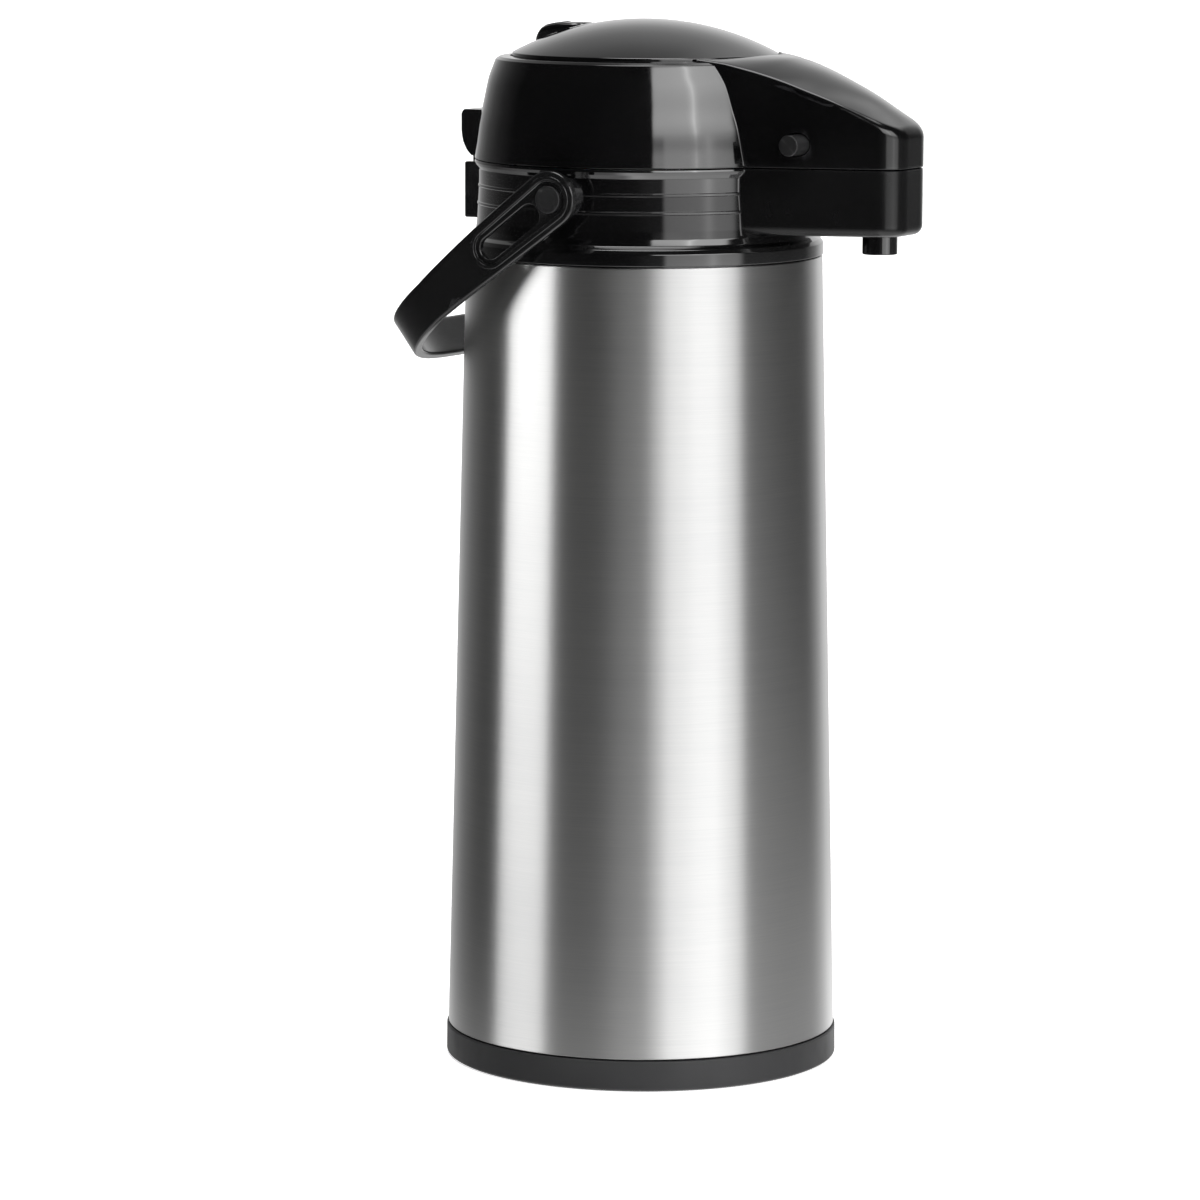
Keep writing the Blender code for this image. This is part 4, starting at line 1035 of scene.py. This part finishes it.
def make_release():
    for side, sign in SIDES:
        peg = lathe(f"release_button_{side}_form", rounded([
            (0.0, 15.4), (5.4, 15.4, 0.3), (5.4, 17.1, 0.3), (3.5, 17.1, 0.2), (3.5, 29.15, 0.45),
            (2.9, 29.25, 0.1), (0.0, 29.25)], False), 72, BUTTON, "Y", sign)
        arm_y = sorted((sign * 15.5, sign * 17.0))
        hook_y = sorted((sign * 16.0, sign * 17.9))
        arm = block("arm", (67.5, arm_y[0], LATCH_HEIGHT), (71.5, arm_y[1], 319.0))
        hook = block("hook", (67.4, hook_y[0], LATCH_HEIGHT - 0.1), (71.4, hook_y[1], 305.5))
        latch = soften(unite(arm, hook), 0.25)
        stand_in(gathered(peg, latch), f"release_button_{side}", SOFT_BLACK)
        spring = coil(f"release_spring_{side}", 3.5, 24, 0.4, 10, lambda a, share: (
            BUTTON_X + 3.0 * math.cos(a), sign * (1.9 + 12.8 * share), BUTTON_Z + 3.0 * math.sin(a)))
        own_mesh(spring)


def make_bellows():
    folds, top, bottom, wall, lip = 4, 342.4, 309.8, 1.2, 1.4
    pitch = (top - lip - bottom) / folds
    outer = []
    for i in range(folds):
        peak = top - lip - pitch * i
        outer += [(38.0, peak, 0.8), (31.5, peak - pitch / 2, 0.8)]
    inner = [(r - wall, h, f) for r, h, f in reversed(outer)]
    section = [(38.0, top, 0.4)] + outer + [
        (38.0, bottom, 0.5), (38.0, bottom - lip, 0.3), (26.0, bottom - lip, 0.3), (26.0, bottom, 0.3),
        (36.8, bottom, 0.2)] + inner + [(4.0, top - lip, 0.3), (4.0, top, 0.3)]
    bellows = lathe("bellows_form", rounded(section, segments=3), 96)
    stand_in(bellows, "bellows", SILICONE, 50.0)
    spring = coil("return_spring", 4.5, 36, 0.9, 12, lambda a, share: (
        22.0 * math.cos(a), 22.0 * math.sin(a), 309.4 + 30.3 * share))
    for part in (bellows, spring):
        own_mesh(part)


# --- Studio --------------------------------------------------------------------------------------

def make_floor():
    """A pale floor, evenly bright to the camera, that shows reflections a painted pool of light: a soft glowing
    patch round the pot, in place of paper lit by the lamps.
    """
    size = 9.0
    mesh = bpy.data.meshes.new("studio_floor")
    mesh.from_pydata([(-size, -size, 0), (size, -size, 0), (size, size, 0), (-size, size, 0)], [],
                     [(0, 1, 2, 3)])
    floor = bpy.data.objects.new("studio_floor", mesh)
    bpy.context.scene.collection.objects.link(floor)
    f = Finish("pale_floor", Specular_IOR_Level=0.0, Emission_Strength=0.72)
    f.shader.inputs["Emission Color"].default_value = (1.0, 1.0, 1.0, 1.0)
    colour = f.colour(f.noise(3.0, 3.0), (0.80, 0.80, 0.80), (0.82, 0.82, 0.82))
    mesh.materials.append(f.done(colour, f.spread(f.noise(40.0), 0.75, 0.85)))
    # Painted light: to glossy rays the floor is clear except for a glowing patch round the pot, a painted pool of
    # light that the steel and black parts reflect.
    away = f.node("ShaderNodeVectorMath", {0: f.coordinates, 1: FLOOR_PAINTED_GLOW_CENTRE}, operation="DISTANCE")
    patch = f.spread(away.outputs["Value"], 1.0, 0.0, 0.10, 0.42)
    painted_glow = f.node("ShaderNodeEmission", {"Strength": f.math("MULTIPLY", patch, FLOOR_PAINTED_GLOW)})
    clear = f.node("ShaderNodeBsdfTransparent")
    seen = f.node("ShaderNodeAddShader", {0: clear.outputs["BSDF"], 1: painted_glow.outputs["Emission"]})
    ray = f.node("ShaderNodeLightPath")
    either = f.node("ShaderNodeMixShader", {
        "Fac": ray.outputs["Is Glossy Ray"], 1: f.shader.outputs["BSDF"], 2: seen.outputs["Shader"]})
    output = next(n for n in f.tree.nodes if n.type == "OUTPUT_MATERIAL")
    f.join(either.outputs["Shader"], output.inputs["Surface"])


# The light all round, layer on layer. Each has its brightness by bearing from the camera, its brightness by
# height above the level (both in degrees), and its strength. A layer without bearings is the same all round.
LIGHT_LAYERS = [
    # The tall soft box to the camera's right, as the head and the steel's upper part see it.
    ([(-180, 0), (4.6, 0), (5.8, 0.5), (20, 0.53), (30, 0.56), (33.4, 0.7), (35, 1.0), (36.6, 0.7),
      (40, 0.56), (52, 0.52), (61, 0.5), (64, 0.44), (66.6, 0), (180, 0)],
     [(-90, 0), (8, 0), (13, 0.74), (20, 0.92), (28, 1.0), (42, 1.0), (48, 0), (90, 0)], 7.2),
    # The same box lower down, for the neck and the steel.
    ([(-180, 0), (11.6, 0), (13.6, 0.48), (20, 0.5), (30, 0.55), (38, 0.60), (42, 0.76), (44, 0.9),
      (46.5, 0.74), (50, 0.58), (56, 0.53), (60, 0.5), (63, 0.42), (66.2, 0), (180, 0)],
     [(-90, 0), (-32, 0), (-20, 0.42), (-9, 0.62), (0, 0.34), (6, 0.30), (9, 0.36), (13, 0), (90, 0)], 6.3),
    # The pale backdrop behind the pot.
    ([(-180, 0.85), (-165, 0.7), (-152, 0.42), (-138, 0.2), (-122, 0.07), (-104, 0.0), (126, 0.0),
      (142, 0.5), (152, 1.0), (162, 1.0), (172, 0.9), (180, 0.85)],
     [(-90, 0.6), (-20, 0.7), (0, 0.8), (8, 1.0), (18, 0.95), (26, 0.74), (34, 0.62), (44, 0.56),
      (60, 0.36), (90, 0.2)], 1.1),
    # A patch high on the right, for the dome's far slope.
    ([(-180, 0), (116, 0), (130, 0.7), (138, 1.0), (150, 0.9), (160, 0.1), (168, 0.0), (180, 0)],
     [(-90, 0), (27, 0), (36, 0.8), (46, 1.0), (60, 1.0), (70, 0.4), (90, 0)], 1.35),
    # Straight overhead.
    (None, [(-90, 0), (44, 0.0), (60, 0.04), (68, 0.12), (73, 1.0), (90, 1.0)], 5.0),
    # Light thrown up from below.
    ([(-180, 0.22), (-135, 0.22), (-112, 0.42), (-90, 0.4), (-60, 0.36), (-40, 0.3), (-30, 0.32),
      (-22, 0.7), (-16, 1.0), (-8, 0.95), (2, 0.75), (10, 0.65), (70, 0.55), (100, 0.45), (180, 0.4)],
     [(-90, 1.0), (-52, 1.0), (-32, 0.35), (-25, 0.0), (90, 0)], 2.1),
    # A weak fill near the level.
    ([(-180, 0.1), (-60, 0.05), (-30, 0.0), (-8, 0.05), (4, 0.3), (68, 0.5), (100, 0.3), (180, 0.3)],
     [(-90, 1.0), (-5, 0.8), (6, 0.08), (90, 0.08)], 0.5),
]
DARKEST = 0.012


def world_ramp(tree, factor, stops):
    """Brightness read off stops of (place, value) along an angle scaled from 0 to 1."""
    made = add_node(tree, "ShaderNodeFloatCurve", {"Value": factor})
    curve = made.mapping.curves[0]
    while len(curve.points) < len(stops):
        curve.points.new(0.5, 0.5)
    for point, (place, value) in zip(curve.points, stops):
        point.location = (place, value)
        point.handle_type = "VECTOR"
    made.mapping.update()
    return made.outputs["Value"]


def make_world():
    """The light all round, which the camera itself sees as plain white."""
    world = bpy.data.worlds.new("studio")
    bpy.context.scene.world = world
    world.use_nodes = True
    tree = world.node_tree
    tree.nodes.clear()

    def node(kind, sockets=(), **settings):
        return add_node(tree, kind, sockets, **settings)

    def maths(operation, a, b=0.0):
        return node("ShaderNodeMath", {0: a, 1: b}, operation=operation).outputs[0]

    turn = node("ShaderNodeVectorRotate", {
        "Angle": -math.radians(CAMERA_AZIMUTH), "Vector": node("ShaderNodeTexCoord").outputs["Generated"]},
        rotation_type="Z_AXIS")
    x, y, z = node("ShaderNodeSeparateXYZ", {"Vector": turn.outputs["Vector"]}).outputs
    bearing = maths("ADD", maths("DIVIDE", maths("ARCTAN2", x, maths("MULTIPLY", y, -1.0)), math.tau), 0.5)
    height = maths("ADD", maths("DIVIDE", maths("ARCSINE", z), math.pi), 0.5)
    total = DARKEST
    for bearings, heights, strength in LIGHT_LAYERS:
        second = world_ramp(tree, height, [(d / 180.0 + 0.5, v) for d, v in heights])
        first = world_ramp(tree, bearing, [(d / 360.0 + 0.5, v) for d, v in bearings]) if bearings else second
        total = maths("ADD", maths("MULTIPLY", maths("MULTIPLY", first, second), strength), total)
    grey = node("ShaderNodeCombineXYZ", {0: total, 1: total, 2: total})
    lit = node("ShaderNodeBackground", {"Color": grey.outputs["Vector"]})
    white = node("ShaderNodeBackground", {"Color": (1.0, 1.0, 1.0, 1.0)})
    both = node("ShaderNodeMixShader", {
        "Fac": node("ShaderNodeLightPath").outputs["Is Camera Ray"],
        1: lit.outputs["Background"], 2: white.outputs["Background"]})
    node("ShaderNodeOutputWorld", {"Surface": both.outputs["Shader"]})
    world.cycles.sampling_method = "MANUAL"
    world.cycles.sample_map_resolution = 1024


def area_lamp(name, size, energy, place):
    lamp = bpy.data.lights.new(name, "AREA")
    lamp.shape = "RECTANGLE"
    lamp.size, lamp.size_y = size
    lamp.energy = energy
    holder = bpy.data.objects.new(name, lamp)
    holder.location = place
    bpy.context.scene.collection.objects.link(holder)
    return holder


def make_lamps():
    """A tall strip that only the steel sees, and a soft box overhead."""
    way = math.radians(STRIP_BEARING + CAMERA_AZIMUTH - 90.0)
    spot = Vector((STRIP_DISTANCE * math.cos(way), STRIP_DISTANCE * math.sin(way), STRIP_SIZE[1] / 2 + 0.03))
    strip = area_lamp("left_strip", STRIP_SIZE, STRIP_POWER, spot)
    strip.rotation_mode = "QUATERNION"
    strip.rotation_quaternion = Vector((spot.x, spot.y, 0.0)).to_track_quat("Z", "Y")
    strip.visible_camera = False
    steel_only = bpy.data.collections.new("steel_only")
    steel_only.objects.link(bpy.data.objects["body_shell_form"])
    strip.light_linking.receiver_collection = steel_only
    area_lamp("overhead_softbox", (1.4, 1.0), 6.0, (0.0, 0.1, 1.7)).visible_glossy = False


def make_camera():
    data = bpy.data.cameras.new("camera")
    data.lens, data.sensor_width = CAMERA_LENS, CAMERA_SENSOR
    data.clip_start, data.clip_end = 0.05, 100.0
    camera = bpy.data.objects.new("camera", data)
    azimuth = math.radians(CAMERA_AZIMUTH)
    level = math.cos(CAMERA_PITCH)
    forward = Vector((-math.sin(azimuth) * level, math.cos(azimuth) * level, -math.sin(CAMERA_PITCH)))
    turn = forward.to_track_quat("-Z", "Y").to_matrix() @ Matrix.Rotation(CAMERA_ROLL, 3, "Z")
    camera.rotation_mode = "QUATERNION"
    camera.rotation_quaternion = turn.to_quaternion()
    camera.location = CAMERA_PLACE
    bpy.context.scene.collection.objects.link(camera)
    bpy.context.scene.camera = camera
    bpy.context.scene.view_settings.view_transform = "Standard"


make_body()
make_mouth()
make_collar()
make_back_hinge()
make_pivots()
make_bail()
make_lid()
make_lid_floor()
make_bellows()
make_pump()
make_lock()
make_arm()
make_release()
make_floor()
make_world()
make_lamps()
make_camera()
bpy.context.view_layer.update()
